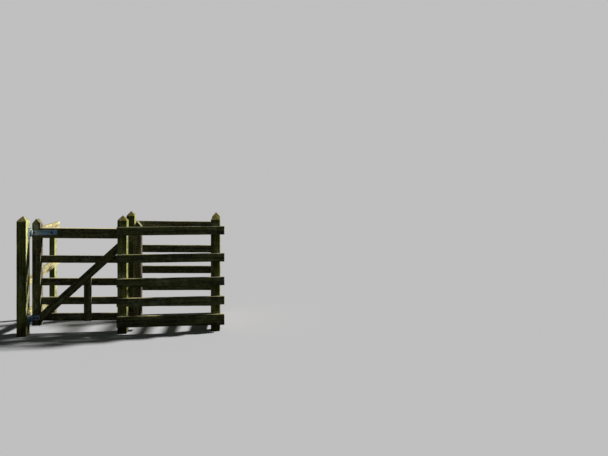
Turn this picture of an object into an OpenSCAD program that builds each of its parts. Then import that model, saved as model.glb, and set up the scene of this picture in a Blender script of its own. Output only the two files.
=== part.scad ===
// Timber kissing gate: a braced leaf that swings between two clapping posts
// of a five-rail enclosure. Origin: centre of the hinge post's foot, at ground
// level. X runs along the front fence, Y through to the rear fence, Z up.

/* [Posts] */
// Width of the square posts
post_w = 95; // [80:1:120]
// Height of the posts up to the shoulder of their weathered tops
post_shoulder = 1175; // [1140:5:1300]
// Height of the four-way weathered top above the shoulder
post_cap = 55; // [20:1:80]
// Width of the wing post
wing_post_w = 65; // [50:1:90]
// Thickness of the wing post, along the wing's rails
wing_post_t = 50; // [40:1:90]
// Height of the four-way weathered top of the wing post
wing_cap = 30; // [10:1:50]
// Depth of the shoulder of the wing post below the top edge of fence rail 1
wing_under = 55; // [50:1:90]

/* [Layout] */
// Clear way between the hinge post and the front clapping post
front_gap = 900; // [850:5:960]
// Length of the enclosure, over its clapping and corner posts
bay_len = 1050; // [900:5:1400]
// Distance between the front and the rear line of posts, centre to centre
bay_depth = 680; // [640:5:900]
// How far the rear clapping post is set towards the hinge post
rear_shift = 62; // [40:1:80]
// How far the rear corner post is set towards the hinge post
corner_shift = 36; // [20:1:60]
// Distance along X from the hinge post's side to the far end of the wing
wing_swing = 79; // [60:1:110]
// Distance from the middle of the rear line of posts to the far end of the wing
wing_end = 11; // [0:1:47]

/* [Fence rails] */
// Thickness of the fence rails
rail_t = 35; // [25:1:45]
// Depth of the fence rails
rail_deep = 88; // [70:1:95]
// Depth of the lowest rail of the front and of the side
low_rail_deep = 114; // [90:1:120]
// Height of the top edge of fence rail 1
rail_1_top = 1109; // [1080:1:1120]
// Height of the top edge of fence rail 2
rail_2_top = 825; // [800:1:850]
// Height of the top edge of fence rail 3
rail_3_top = 577; // [560:1:610]
// Height of the top edge of fence rail 4
rail_4_top = 375; // [360:1:410]
// Height of the top edge of fence rail 5
rail_5_top = 187; // [170:1:210]
// Length of the front rails past the front corner post
rail_past = 50; // [0:1:80]
// How much the rear corner post has sunk, with the rails that it carries
rear_sink = 20; // [0:1:30]

/* [Wing rails] */
// How much the top wing rail has dropped at the hinge post
wing_1_drop = 38; // [0:1:60]
// Height of the top edge of the middle wing rail at its far end
wing_2_top = 716; // [690:1:740]
// How much the middle wing rail has dropped at the hinge post
wing_2_drop = 165; // [0:1:180]
// Height of the top edge of the low wing rail
wing_3_top = 255; // [230:1:300]
// Distance of the wing rails' near ends from the centre of the hinge post
wing_near = 5; // [0:1:8]
// Length of the wing rails past the wing post
wing_past = 3; // [0:1:40]

/* [Leaf] */
// Length of the leaf over its stiles
leaf_len = 1103; // [1090:1:1130]
// Width of the stiles
stile_w = 84; // [75:1:95]
// Thickness of the stiles, the top rail and of the leaf
stile_t = 75; // [70:1:85]
// Height of the tip of the hanging stile
hang_top = 1194; // [1175:1:1230]
// Height of the tip of the head stile
head_top = 1156; // [1152:1:1200]
// Height of the two-way weathered tops of the stiles
stile_cap = 52; // [20:1:55]
// Height of the hanging stile's foot above the ground
stile_foot = 83; // [60:1:100]
// Depth of the top rail of the leaf
top_deep = 106; // [95:1:120]
// Height of the top edge of leaf rail 1 at the hinge edge
leaf_1_top = 1098; // [1090:1:1100]
// Height of the top edge of leaf rail 2 at the hinge edge
leaf_2_top = 810; // [790:1:830]
// Height of the top edge of leaf rail 3 at the hinge edge
leaf_3_top = 573; // [550:1:590]
// Height of the top edge of leaf rail 4 at the hinge edge
leaf_4_top = 375; // [360:1:390]
// Height of the top edge of leaf rail 5 at the hinge edge
leaf_5_top = 205; // [190:1:215]
// How much the leaf has sunk at the edge of its head
leaf_sink = 22; // [0:1:30]
// Depth of leaf rails 2 to 5
leaf_deep = 78; // [65:1:90]
// Thickness of leaf rails 2 to 5 and of every tenon
leaf_rail_t = 28; // [20:1:32]
// Shoulder cut from the upper and the lower edge of each tenon
tenon_step = 12; // [5:1:18]
// Play between a tenon and its mortise
tenon_play = 0.3; // [0.1:0.1:1]

/* [Brace and strut] */
// Width of the brace
brace_w = 84; // [75:1:100]
// Slope of the brace
brace_slope = 42.5; // [41:0.5:43]
// Height of the brace's lower edge where it meets the hanging stile
brace_foot = 105; // [85:1:110]
// Width of the strut
strut_w = 76; // [60:1:90]
// Distance of the strut from the hinge edge of the leaf
strut_at = 517; // [300:1:560]

/* [Hinges] */
// Diameter of the hinge pins
pin_d = 13; // [10:0.5:15]
// Radial clearance of a pin in its eye
pin_play = 0.05; // [0.03:0.01:0.08]
// Height of a pin above its eye
pin_over = 9; // [4:1:20]
// Thickness of the straps and of the eyes' walls
strap_t = 6; // [4:0.5:7]
// Width of the straps
strap_w = 50; // [40:1:60]
// Length of the upper strap from the hinge edge of the leaf
strap_len = 256; // [200:1:400]
// Length of the lower strap from the hinge edge of the leaf
low_strap_len = 80; // [70:1:84]
// Radius of the corners at the far ends of the straps
strap_corner = 10; // [4:1:20]
// Height of the middle of the upper strap
strap_at = 1047; // [1030:1:1060]
// Height of the middle of the lower strap
low_strap_at = 164; // [140:1:170]
// Diameter of the holes for the bolts through straps and leaf
bolt_hole = 11; // [9:0.5:12]
// Distance of the first bolt of each strap from the hinge edge of the leaf
near_bolt = 24; // [20:1:30]
// Distance of the last bolt of the upper strap from its far end
end_bolt = 58; // [20:1:80]
// Distance of the last bolt of the lower strap from its far end
low_end_bolt = 20; // [18:1:24]
// Clear gap between the hinge post and the leaf
hinge_gap = 18; // [16:1:22]
// Thickness of the plates that carry the pins
plate_t = 5; // [3:0.5:6]
// Width of the pin plates
plate_w = 44; // [36:1:60]
// Height of the pin plates
plate_h = 120; // [116:1:160]
// Radius of the corners of the pin plates
plate_corner = 5; // [2:0.5:10]
// Diameter of the screw holes in the pin plates
screw_hole = 7; // [5:0.5:8]
// Distance of the screw holes from the edges of their plate
screw_edge = 11; // [8:0.5:12]
// Gap between an eye and its plate
eye_gap = 2.5; // [2:0.1:4]
// Height of the arm under each pin
arm_h = 14; // [10:1:20]
// Width of the arm under each pin
arm_w = 10; // [8:1:10]
// Height of the bevel at the tip of each pin
pin_bevel = 2; // [0.5:0.5:3]
// Play between an eye and the arm it stands on
arm_play = 0.3; // [0.1:0.1:1]
// Gap between the leaf and the back of the clapping post
face_gap = 5; // [5:0.5:10]

/* [Hidden] */
$fn = 48;

half = post_w / 2;
timber = "#6f6a52";
leaf_timber = "#6b5f4c";
iron = "#9aa4ad";

// Posts of the enclosure, by the middle of each foot
front_clap_x = half + front_gap + half;
front_corner_x = half + front_gap + bay_len - half;
rear_clap_x = front_clap_x - rear_shift;
rear_corner_x = front_corner_x - corner_shift;

// Wing: its rails' right faces run from wing_near on the hinge post's back
// face to the far end, and its post stands square to them
wing_far_x = half + wing_swing;
wing_run_x = wing_far_x - wing_near;
wing_run_y = bay_depth + wing_end - half;
wing_turn = atan(wing_run_x / wing_run_y);
wing_len = norm([wing_run_x, wing_run_y]);

// Leaf, at rest behind the front clapping post
leaf_x = half + hinge_gap;
leaf_y = half + face_gap;
leaf_end = leaf_x + leaf_len;
leaf_mid_y = leaf_y + stile_t / 2;
rail_from = leaf_x + stile_w;
rail_to = leaf_end - stile_w;
brace_t = (stile_t - leaf_rail_t) / 2;
leaf_slope = leaf_sink / leaf_len;
wing_shoulder = rail_1_top - wing_under;

// Hinge: the eye's outside is flush with the back of its strap
pin_r = pin_d / 2;
eye_in = pin_r + pin_play;
eye_out = eye_in + strap_t;
pin_x = half + plate_t + eye_gap + eye_out;
pin_y = leaf_y - eye_out;
upper_bolts = [near_bolt, strap_len - end_bolt];
lower_bolts = [near_bolt, low_strap_len - low_end_bolt];

// Shapes that repeat

// A post on the ground with a top weathered to all four sides
module post(x, y, shoulder, w = post_w, t = post_w, cap = post_cap) {
    translate([x, y, 0])
        intersection() {
            gable(w, t, 0, shoulder, cap);
            rotate([0, 0, 90]) gable(t, w, 0, shoulder, cap);
        }
}

// An upright of width w and thickness t, its top sloping down to both sides
module gable(w, t, foot, shoulder, cap) {
    rotate([90, 0, 0])
        linear_extrude(t, center = true)
            polygon([
                [-w / 2, foot], [w / 2, foot], [w / 2, shoulder],
                [0, shoulder + cap], [-w / 2, shoulder]
            ]);
}

// A board along X from x0 to x1 with its front face at y. Its top edge is at top
// at x0 and falls by slope along X, and both ends are cut upright
module board(x0, x1, y, t, top, deep, slope = 0) {
    end_top = top - (x1 - x0) * slope;
    translate([0, y + t, 0])
        rotate([90, 0, 0])
            linear_extrude(t)
                polygon([
                    [x0, top - deep], [x1, end_top - deep], [x1, end_top], [x0, top]
                ]);
}

// Fence rail of the front line, nailed to the front faces of the posts
module front_rail(top, deep) {
    color(timber)
        board(
            front_clap_x - half, front_corner_x + half + rail_past,
            -half - rail_t, rail_t, top, deep
        );
}

// Fence rail of the rear line, nailed to the back faces of the posts: it is at
// top where it starts, follows the sunken corner post down and ends flush with it
module rear_rail(top) {
    from = rear_clap_x - half;
    color(timber)
        board(
            from, rear_corner_x + half, bay_depth + half, rail_t,
            top, rail_deep, rear_sink / (rear_corner_x - from)
        );
}

// Fence rail between the two corner posts, its ends cut to their faces
module side_rail(top, deep) {
    run = bay_depth - post_w;
    lean = corner_shift / bay_depth;
    color(timber)
        translate([front_corner_x - half * lean, half, 0])
            falling_board(run, top, deep, rear_sink)
                polygon([
                    [-rail_t / 2, 0], [rail_t / 2, 0],
                    [rail_t / 2 - run * lean, run], [-rail_t / 2 - run * lean, run]
                ]);
}

// A board on a plan outline that runs along Y from the X axis: its top edge is at
// top there, and lies lower by fall at a distance of run
module falling_board(run, top, deep, fall) {
    over = rail_t;
    extra = over * fall / run;
    intersection() {
        linear_extrude(post_shoulder) children();
        translate([-post_w, 0, 0])
            rotate([90, 0, 90])
                linear_extrude(2 * post_w)
                    polygon([
                        [-over, top + extra - deep], [run + over, top - fall - extra - deep],
                        [run + over, top - fall - extra], [-over, top + extra]
                    ]);
    }
}

// Moves a shape to the wing: local Y runs along the wing rails' right faces
module on_wing() {
    translate([wing_near, half, 0]) rotate([0, 0, -wing_turn]) children();
}

// Rail of the wing: cut to the hinge post's back face, and lower there by drop
module wing_rail(top, drop) {
    heel = -rail_t * tan(wing_turn);
    color(timber)
        on_wing()
            falling_board(wing_len, top - drop, rail_deep, -drop)
                polygon([[0, 0], [0, wing_len], [-rail_t, wing_len], [-rail_t, heel]]);
}

// How much lower the leaf's rails lie at x than at the hinge edge
function sunk(x) = (x - leaf_x) * leaf_slope;

// A board of the leaf from x0 to x1, its top edge at top at the hinge edge
module leaf_board(x0, x1, y, t, top, deep) {
    board(x0, x1, y, t, top - sunk(x0), deep, leaf_slope);
}

// Rail of the leaf with a through tenon at each end
module leaf_rail(top, deep, t) {
    color(leaf_timber)
        difference() {
            union() {
                leaf_board(rail_from, rail_to, leaf_mid_y - t / 2, t, top, deep);
                leaf_board(
                    leaf_x, leaf_end, leaf_mid_y - leaf_rail_t / 2, leaf_rail_t,
                    top - tenon_step, deep - 2 * tenon_step
                );
            }
            bolt_holes();
        }
}

// Holes through the thickness of the leaf for the bolts of both straps
module bolt_holes() {
    for (at = upper_bolts) bolt_bore(at, strap_at);
    for (at = lower_bolts) bolt_bore(at, low_strap_at);
}

// One hole at a distance from the hinge edge of the leaf and at a height
module bolt_bore(at, height) {
    translate([leaf_x + at, leaf_y - strap_t - 1, height])
        rotate([-90, 0, 0]) cylinder(d = bolt_hole, h = strap_t + stile_t + 2);
}

// Holes for the tenons of all five rails, from x0 to x1
module mortises(x0, x1) {
    for (rail = [
        [leaf_1_top, top_deep], [leaf_2_top, leaf_deep], [leaf_3_top, leaf_deep],
        [leaf_4_top, leaf_deep], [leaf_5_top, leaf_deep]
    ])
        leaf_board(
            x0 - 1, x1 + 1,
            leaf_mid_y - leaf_rail_t / 2 - tenon_play, leaf_rail_t + 2 * tenon_play,
            rail[0] - tenon_step + tenon_play, rail[1] - 2 * tenon_step + 2 * tenon_play
        );
}

// Stile of the leaf with its left edge at x, its foot at foot and its tip at top
module stile(x, foot, top) {
    color(leaf_timber)
        difference() {
            translate([x + stile_w / 2, leaf_mid_y, 0])
                gable(stile_w, stile_t, foot, top - stile_cap, stile_cap);
            mortises(x, x + stile_w);
            bolt_holes();
        }
}

// Strap on the face of the leaf, with the eye that turns on the pin
module strap(at, len) {
    flat = leaf_x + len - pin_x;
    color(iron)
        difference() {
            translate([pin_x, 0, at - strap_w / 2]) {
                translate([0, pin_y, 0]) cylinder(r = eye_out, h = strap_w);
                translate([0, leaf_y, 0])
                    rotate([90, 0, 0]) linear_extrude(strap_t) strap_flat(flat);
            }
            translate([pin_x, pin_y, at - strap_w / 2 - 1])
                cylinder(r = eye_in, h = strap_w + 2);
            bolt_holes();
        }
}

// Outline of the flat of a strap, its far corners rounded
module strap_flat(len) {
    square([len - strap_corner, strap_w]);
    translate([0, strap_corner]) square([len, strap_w - 2 * strap_corner]);
    for (z = [strap_corner, strap_w - strap_corner])
        translate([len - strap_corner, z]) circle(r = strap_corner);
}

// Plate on the hinge post's side with an arm that carries the pin
module hook(at) {
    under = at - strap_w / 2 - arm_play;
    pin_h = arm_h + arm_play + strap_w + pin_over;
    color(iron) {
        translate([half, leaf_y - face_gap - plate_w, at - plate_h / 2])
            rotate([90, 0, 90]) linear_extrude(plate_t) pin_plate();
        translate([half, pin_y - arm_w / 2, under - arm_h])
            cube([pin_x - half, arm_w, arm_h]);
        translate([pin_x, pin_y, under - arm_h]) {
            cylinder(r = pin_r, h = pin_h - pin_bevel);
            translate([0, 0, pin_h - pin_bevel])
                cylinder(r1 = pin_r, r2 = pin_r - pin_bevel, h = pin_bevel);
        }
    }
}

// Outline of a pin plate: rounded corners and a screw hole near each
module pin_plate() {
    difference() {
        union() {
            translate([plate_corner, 0]) square([plate_w - 2 * plate_corner, plate_h]);
            translate([0, plate_corner]) square([plate_w, plate_h - 2 * plate_corner]);
            plate_corners(plate_corner) circle(r = plate_corner);
        }
        plate_corners(screw_edge) circle(d = screw_hole);
    }
}

// Repeats a shape at the four corners of a pin plate, inset both ways
module plate_corners(inset) {
    for (y = [inset, plate_w - inset], z = [inset, plate_h - inset])
        translate([y, z]) children();
}

// Sub-parts

module hinge_post() {
    color(timber) post(0, 0, post_shoulder);
}

module front_clapping_post() {
    color(timber) post(front_clap_x, 0, post_shoulder);
}

module rear_clapping_post() {
    color(timber) post(rear_clap_x, bay_depth, post_shoulder);
}

module front_corner_post() {
    color(timber) post(front_corner_x, 0, post_shoulder);
}

module rear_corner_post() {
    color(timber) post(rear_corner_x, bay_depth, post_shoulder - rear_sink);
}

module wing_post() {
    color(timber)
        on_wing()
            post(
                -rail_t - wing_post_w / 2, wing_len - wing_past - wing_post_t / 2,
                wing_shoulder, wing_post_w, wing_post_t, wing_cap
            );
}

// Brace from the foot of the hanging stile up to the corner of top rail and head:
// a plank cut to the opening between the stiles and under the top rail
module leaf_brace() {
    run = rail_to - rail_from;
    under = leaf_1_top - top_deep - sunk(rail_from);
    color(leaf_timber)
        translate([rail_from, leaf_y + brace_t, 0])
            rotate([90, 0, 0])
                linear_extrude(brace_t)
                    intersection() {
                        translate([0, brace_foot])
                            rotate(brace_slope)
                                translate([-brace_w, 0]) square([2 * run, brace_w]);
                        polygon([
                            [0, 0], [run, 0], [run, under - run * leaf_slope], [0, under]
                        ]);
                    }
}

// Upright from the lowest rail to the underside of the brace
module leaf_strut() {
    rise = tan(brace_slope);
    x0 = leaf_x + strut_at;
    z0 = brace_foot + (x0 - rail_from) * rise;
    foot = leaf_5_top - leaf_deep - sunk(x0);
    color(leaf_timber)
        translate([x0, leaf_y + brace_t, 0])
            rotate([90, 0, 0])
                linear_extrude(brace_t)
                    polygon([
                        [0, foot], [strut_w, foot - strut_w * leaf_slope],
                        [strut_w, z0 + strut_w * rise], [0, z0]
                    ]);
}

hinge_post();
front_clapping_post();
rear_clapping_post();
front_corner_post();
rear_corner_post();
wing_post();
front_rail(rail_1_top, rail_deep);  // front_rail_1
front_rail(rail_2_top, rail_deep);  // front_rail_2
front_rail(rail_3_top, rail_deep);  // front_rail_3
front_rail(rail_4_top, rail_deep);  // front_rail_4
front_rail(rail_5_top, low_rail_deep);  // front_rail_5
rear_rail(rail_1_top);  // rear_rail_1
rear_rail(rail_2_top);  // rear_rail_2
rear_rail(rail_3_top);  // rear_rail_3
rear_rail(rail_4_top);  // rear_rail_4
rear_rail(rail_5_top);  // rear_rail_5
side_rail(rail_1_top, rail_deep);  // side_rail_1
side_rail(rail_2_top, rail_deep);  // side_rail_2
side_rail(rail_3_top, rail_deep);  // side_rail_3
side_rail(rail_4_top, rail_deep);  // side_rail_4
side_rail(rail_5_top, low_rail_deep);  // side_rail_5
wing_rail(rail_1_top, wing_1_drop);  // wing_rail_1
wing_rail(wing_2_top, wing_2_drop);  // wing_rail_2
wing_rail(wing_3_top, 0);  // wing_rail_3
stile(leaf_x, stile_foot, hang_top);  // hanging_stile
stile(rail_to, stile_foot - sunk(rail_to), head_top);  // head_stile
leaf_rail(leaf_1_top, top_deep, stile_t);  // leaf_rail_1
leaf_rail(leaf_2_top, leaf_deep, leaf_rail_t);  // leaf_rail_2
leaf_rail(leaf_3_top, leaf_deep, leaf_rail_t);  // leaf_rail_3
leaf_rail(leaf_4_top, leaf_deep, leaf_rail_t);  // leaf_rail_4
leaf_rail(leaf_5_top, leaf_deep, leaf_rail_t);  // leaf_rail_5
leaf_brace();
leaf_strut();
strap(strap_at, strap_len);  // upper_strap
strap(low_strap_at, low_strap_len);  // lower_strap
hook(strap_at);  // upper_hook
hook(low_strap_at);  // lower_hook
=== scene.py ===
"""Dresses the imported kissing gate: old timber, galvanised ironwork, fixings, stage and camera.

Every timber is a mesh swept along its own grain, from the size and place of its CAD node, with worn
arrises, raised grain and drying checks. Nails, bolts, screws and pegs are set by Geometry Nodes.
"""

import math

import bmesh
import bpy
import numpy as np
from bpy.props import FloatProperty, FloatVectorProperty, IntProperty, PointerProperty
from mathutils import Matrix, Vector


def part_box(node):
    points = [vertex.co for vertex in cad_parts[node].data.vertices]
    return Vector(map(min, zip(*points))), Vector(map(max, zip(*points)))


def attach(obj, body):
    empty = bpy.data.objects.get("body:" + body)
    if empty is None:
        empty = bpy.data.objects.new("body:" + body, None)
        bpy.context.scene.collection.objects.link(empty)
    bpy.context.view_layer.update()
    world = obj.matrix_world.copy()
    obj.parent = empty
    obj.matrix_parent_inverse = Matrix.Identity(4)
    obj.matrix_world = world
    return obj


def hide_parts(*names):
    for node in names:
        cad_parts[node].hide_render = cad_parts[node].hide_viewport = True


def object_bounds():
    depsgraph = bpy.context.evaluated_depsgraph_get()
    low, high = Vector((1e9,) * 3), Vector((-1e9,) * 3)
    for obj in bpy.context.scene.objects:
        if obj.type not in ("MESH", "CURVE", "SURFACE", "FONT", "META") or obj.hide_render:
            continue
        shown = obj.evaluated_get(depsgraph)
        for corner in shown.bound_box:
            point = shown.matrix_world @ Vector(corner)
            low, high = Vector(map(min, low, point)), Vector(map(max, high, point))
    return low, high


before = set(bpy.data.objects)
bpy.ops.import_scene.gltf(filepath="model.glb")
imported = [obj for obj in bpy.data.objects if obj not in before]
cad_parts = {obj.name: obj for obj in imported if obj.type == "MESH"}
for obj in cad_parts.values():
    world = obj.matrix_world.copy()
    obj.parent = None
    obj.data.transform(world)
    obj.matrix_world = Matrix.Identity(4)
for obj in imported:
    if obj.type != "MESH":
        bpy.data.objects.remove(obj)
CAD_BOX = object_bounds()

bl_info = {
    "name": "Kissing gate",
    "version": (1, 0, 0),
    "blender": (4, 5, 0),
    "location": "3D View > Sidebar > Gate",
    "description": "Weathered timber, ironwork, fixings, stage and camera for the kissing gate",
    "category": "Object",
}

X, Y, Z = Vector((1, 0, 0)), Vector((0, 1, 0)), Vector((0, 0, 1))
PHOTO_WIDTH, PHOTO_HEIGHT = 608, 456
SENSOR_WIDTH = 36.0
# Coordinates that differ by less than this are the same, and on the turned wing by less than that
SAME, WING_SAME = 1e-5, 1e-4

RAIL_NUMBERS = (1, 2, 3, 4, 5)
WING_NUMBERS = (1, 2, 3)
SQUARE_POSTS = (
    "hinge_post", "front_clapping_post", "rear_clapping_post", "front_corner_post",
    "rear_corner_post",
)

# Seed of each group's first timber; the others of the group follow it, one by one
SEEDS = {
    "posts": 100, "front": 200, "rear": 220, "side": 240, "wing": 260, "stiles": 300,
    "leaf rails": 320, "brace and strut": 340,
}

# Where the heart of the tree lay in each kind of timber: across and through, from its middle
HEARTS = {
    "post": (0.006, -0.009), "board": (0.035, 0.05), "side rail": (0.04, 0.045),
    "wing rail": (-0.03, 0.05), "stile": (0.012, 0.05), "brace": (0.02, -0.06),
    "strut": (-0.03, 0.04),
}

# How much more than its like a timber has grown over, and how much painted shade it takes: all
# round, on its sunny side and on top. A face whose shade passes 1.1 turns to a near-black painted
# shade film, so the clapping posts, the front corner post's sunny side, the stiles, the first front
# rail's top and the second and third rear rails are darkened for the shade that fell on them; the
# values on top of the rails also keep those tops from paling, and the wing rails' negative values
# leave their sunny sides paler.
PAINTED_SHADE_AND_GROWTH = {
    "front_clapping_post": (0.0, 1.2, 0.0),
    "rear_clapping_post": (0.46, 0.0, 0.0),
    "front_corner_post": (0.0, 2.0, 0.2),
    "front_rail_1": (0.0, 0.0, 0.9),
    "front_rail_2": (0.0, 0.0, 0.6),
    "front_rail_3": (0.0, 0.0, 0.3),
    "rear_rail_2": (0.3, 0.0, 0.0),
    "rear_rail_3": (0.42, 0.0, 0.0),
    "wing_rail_1": (0.0, -0.3, 0.3),
    "wing_rail_2": (0.0, -0.3, 0.0),
    "hanging_stile": (0.1, 1.1, 0.0),
    "head_stile": (0.4, 2.2, -2.2),
    "leaf_rail_2": (0.0, 0.0, 0.7),
    "leaf_rail_3": (0.0, 0.0, 0.4),
    "leaf_rail_4": (0.0, 0.0, 0.4),
    "leaf_rail_5": (0.1, 0.0, 0.7),
}
# How much more a timber is darkened and greened at its far end than at its start; the front corner
# post is darker towards its top
DARKENING_RISE = {"front_corner_post": 0.9}

# Of each timber finish: how far algae and moss have spread, and how pale its upper faces are made,
# sun-bleached and partly a painted highlight of sunlit tops
SPREAD = {
    "post_timber": (0.95, 0.95, 0.2), "rail_timber": (0.92, 0.6, 0.15),
    "leaf_timber": (0.80, 0.25, 0.85),
}
# How much of the zinc has gone besides the patches that every piece of steel has
RUSTED = {"galvanised_steel": 0.0, "rusty_nails": 0.75}

RING_WIDTH = 0.0048
TIMBER_SHEEN = 0.03
TIMBER_BUMP = {"Strength": 0.75, "Distance": 0.0011}
STEEL_BUMP = {"Strength": 0.35, "Distance": 0.0004}

# Angles between faces from which an edge looks sharp
TIMBER_SHARP, STEEL_SHARP, FIXING_SHARP = math.radians(38), math.radians(35), math.radians(40)
# In the ironwork: points nearer than this are one, faces that turn by less are one, and edges that
# turn by more are eased
ONE_POINT, ONE_FACE, EASED_FROM = 1e-6, math.radians(1), math.radians(30)


# Settings

def length(name, description, default):
    """A property that holds a length in metres."""
    return FloatProperty(name=name, description=description, default=default, min=0, unit="LENGTH")


def share(name, description, default):
    """A property that holds a share from 0 to 1."""
    return FloatProperty(
        name=name, description=description, default=default, min=0, max=1, subtype="FACTOR",
    )


def colour(name, description, default):
    """A property that holds a colour."""
    return FloatVectorProperty(
        name=name, description=description, default=default, min=0, max=1, size=3, subtype="COLOR",
    )


class GateTimberSettings(bpy.types.PropertyGroup):
    """Shape of the timber's surface."""

    ring_step: length("Ring spacing", "Distance between rings of points along the grain", 0.011)
    face_step: length("Face spacing", "Distance between points round a timber's section", 0.0065)
    arris: length("Arris radius", "Radius that the weather has given the arrises", 0.0022)
    arris_wear: length("Arris wear", "Depth of the deepest nick in an arris", 0.0024)
    skin: length("Skin", "Depth by which every face has worn below its sawn size", 0.0006)
    relief: length("Relief", "Depth of the raised grain and the saw's waves", 0.0013)
    check_depth: length("Check depth", "Depth of the deepest drying check", 0.013)
    check_width: length("Check width", "Width of the widest drying check", 0.0026)
    end_ease: length("End easing", "Width of the worn edge round a cut end", 0.0022)
    mortise_play: length("Mortise play", "Gap between a tenon and its mortise", 0.0004)


class GateFinishSettings(bpy.types.PropertyGroup):
    """Colours of timber, growth and metal."""

    post_bare: colour("Post timber", "Colour of the posts' dry wood", (0.44, 0.475, 0.25))
    post_late: colour("Post late wood", "Colour of the posts' darker rings", (0.225, 0.235, 0.11))
    post_algae: colour("Post algae", "Colour of the posts' green film", (0.205, 0.215, 0.092))
    rail_bare: colour("Rail timber", "Colour of the rails' dry wood", (0.47, 0.45, 0.29))
    rail_late: colour("Rail late wood", "Colour of the rails' darker rings", (0.26, 0.23, 0.13))
    rail_algae: colour("Rail algae", "Colour of the rails' green film", (0.168, 0.178, 0.135))
    leaf_bare: colour("Leaf timber", "Colour of the leaf's dry wood", (0.25, 0.26, 0.12))
    leaf_late: colour("Leaf late wood", "Colour of the leaf's darker rings", (0.125, 0.122, 0.070))
    leaf_algae: colour("Leaf algae", "Colour of the leaf's green film", (0.162, 0.146, 0.140))
    moss: colour("Moss", "Colour of the moss on the tops", (0.085, 0.082, 0.028))
    moss_tip: colour("Moss tips", "Colour of the dry tips of the moss", (0.26, 0.215, 0.095))
    haze: colour("Haze", "Colour of the grey film on the shaded faces", (0.27, 0.33, 0.32))
    # Pale straw of the upper faces: bleached wood, and partly a painted highlight of sunlit tops
    straw_and_painted_highlight: colour("Bleached wood", "Colour of the bleached upper faces", (0.62, 0.59, 0.42))
    lichen: colour("Lichen", "Colour of the lichen's crusts", (0.46, 0.49, 0.38))
    soil: colour("Soil", "Colour of the damp soil on the feet", (0.055, 0.042, 0.024))
    # The zinc colours are tinted blue: the zinc's own grey, and partly a painted reflection of blue
    # sky
    zinc: colour("Zinc", "Colour of the weathered zinc coat", (0.40, 0.51, 0.62))
    zinc_dull: colour("Dull zinc", "Colour of the zinc's chalky patches", (0.34, 0.42, 0.48))
    rust: colour("Rust", "Colour of the rust where the zinc has gone", (0.17, 0.062, 0.02))


class GateFixingSettings(bpy.types.PropertyGroup):
    """Sizes of nails, bolts, screws and pegs."""

    nail_head: length("Nail head", "Diameter of the nail heads", 0.0085)
    nail_sink: length("Nail depth", "Depth of the nails' seats below the sawn faces", 0.0014)
    bolt_head: length("Bolt head", "Diameter of the bolts' cup heads", 0.026)
    nut: length("Nut", "Width of the nuts across their flats", 0.017)
    washer: length("Washer", "Diameter of the washers under the nuts", 0.024)
    screw_head: length("Screw head", "Width of the screws' heads across their flats", 0.0105)
    peg: length("Peg", "Diameter of the pegs through the tenons", 0.016)
    edge: length("Eased edge", "Width of the eased edges of straps and plates", 0.0008)
    strap: length("Strap thickness", "Thickness of the straps, under the bolts' heads", 0.006)
    near_bolt: length("First bolt", "Distance of the first bolt from the leaf's edge", 0.024)
    end_bolt: length("Last bolt", "Distance of the upper strap's last bolt from its end", 0.058)
    low_end_bolt: length("Lower last bolt", "Distance of the lower one's last bolt from it", 0.020)
    plate: length("Plate thickness", "Thickness of the pin plates", 0.005)
    plate_inset: length("Plate inset", "Distance of the screws from the plates' edges", 0.011)
    size_spread: share("Size spread", "Share by which like fixings differ in size", 0.06)
    seed: IntProperty(name="Seed", description="Seed of the fixings' turns and sizes", default=11)


class GateStageSettings(bpy.types.PropertyGroup):
    """Camera, light and floor."""

    eye: FloatVectorProperty(
        name="Camera", description="Place of the camera", default=(2.316, -5.6975, 1.636),
        subtype="XYZ", unit="LENGTH",
    )
    turn: FloatProperty(
        name="Camera turn", description="Heading of the camera, clockwise from +Y",
        default=math.radians(5.8), subtype="ANGLE",
    )
    focal: FloatProperty(
        name="Focal length", description="Focal length in pixels of the photo's frame",
        default=530, min=1, subtype="PIXEL",
    )
    horizon: FloatProperty(
        name="Horizon", description="Row of the horizon in the photo's frame", default=176,
        subtype="PIXEL",
    )
    key_from: FloatVectorProperty(
        name="Key light", description="Direction that the key light comes from",
        default=(0.803, 0.185, 0.566), subtype="DIRECTION",
    )
    key_power: FloatProperty(
        name="Key power", description="Strength of the key light", default=7.6, min=0,
    )
    key_angle: FloatProperty(
        name="Key size", description="Angle that the key light fills, for soft shadows",
        default=math.radians(5), subtype="ANGLE",
    )
    key_colour: colour("Key colour", "Colour of the key light", (1.0, 0.93, 0.76))
    fill_power: FloatProperty(
        name="Fill", description="Strength of the soft light from all sides", default=0.07, min=0,
    )
    fill_colour: colour("Fill colour", "Colour of the soft light", (0.92, 1.0, 0.74))
    sheen: colour("Sheen", "Colour that shows in the shine of the metal", (0.10, 0.17, 0.31))
    floor: colour("Floor", "Colour of the floor", (0.369, 0.391, 0.485))
    bounce: colour("Bounce", "Colour of the light thrown back by the floor", (0.031, 0.035, 0.0145))
    floor_size: length("Floor size", "Width of the floor", 90.0)


GROUPS = (
    ("gate_timber", GateTimberSettings),
    ("gate_finish", GateFinishSettings),
    ("gate_fixings", GateFixingSettings),
    ("gate_stage", GateStageSettings),
)


# Node trees

FLOAT, VECTOR = "NodeSocketFloat", "NodeSocketVector"


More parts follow.
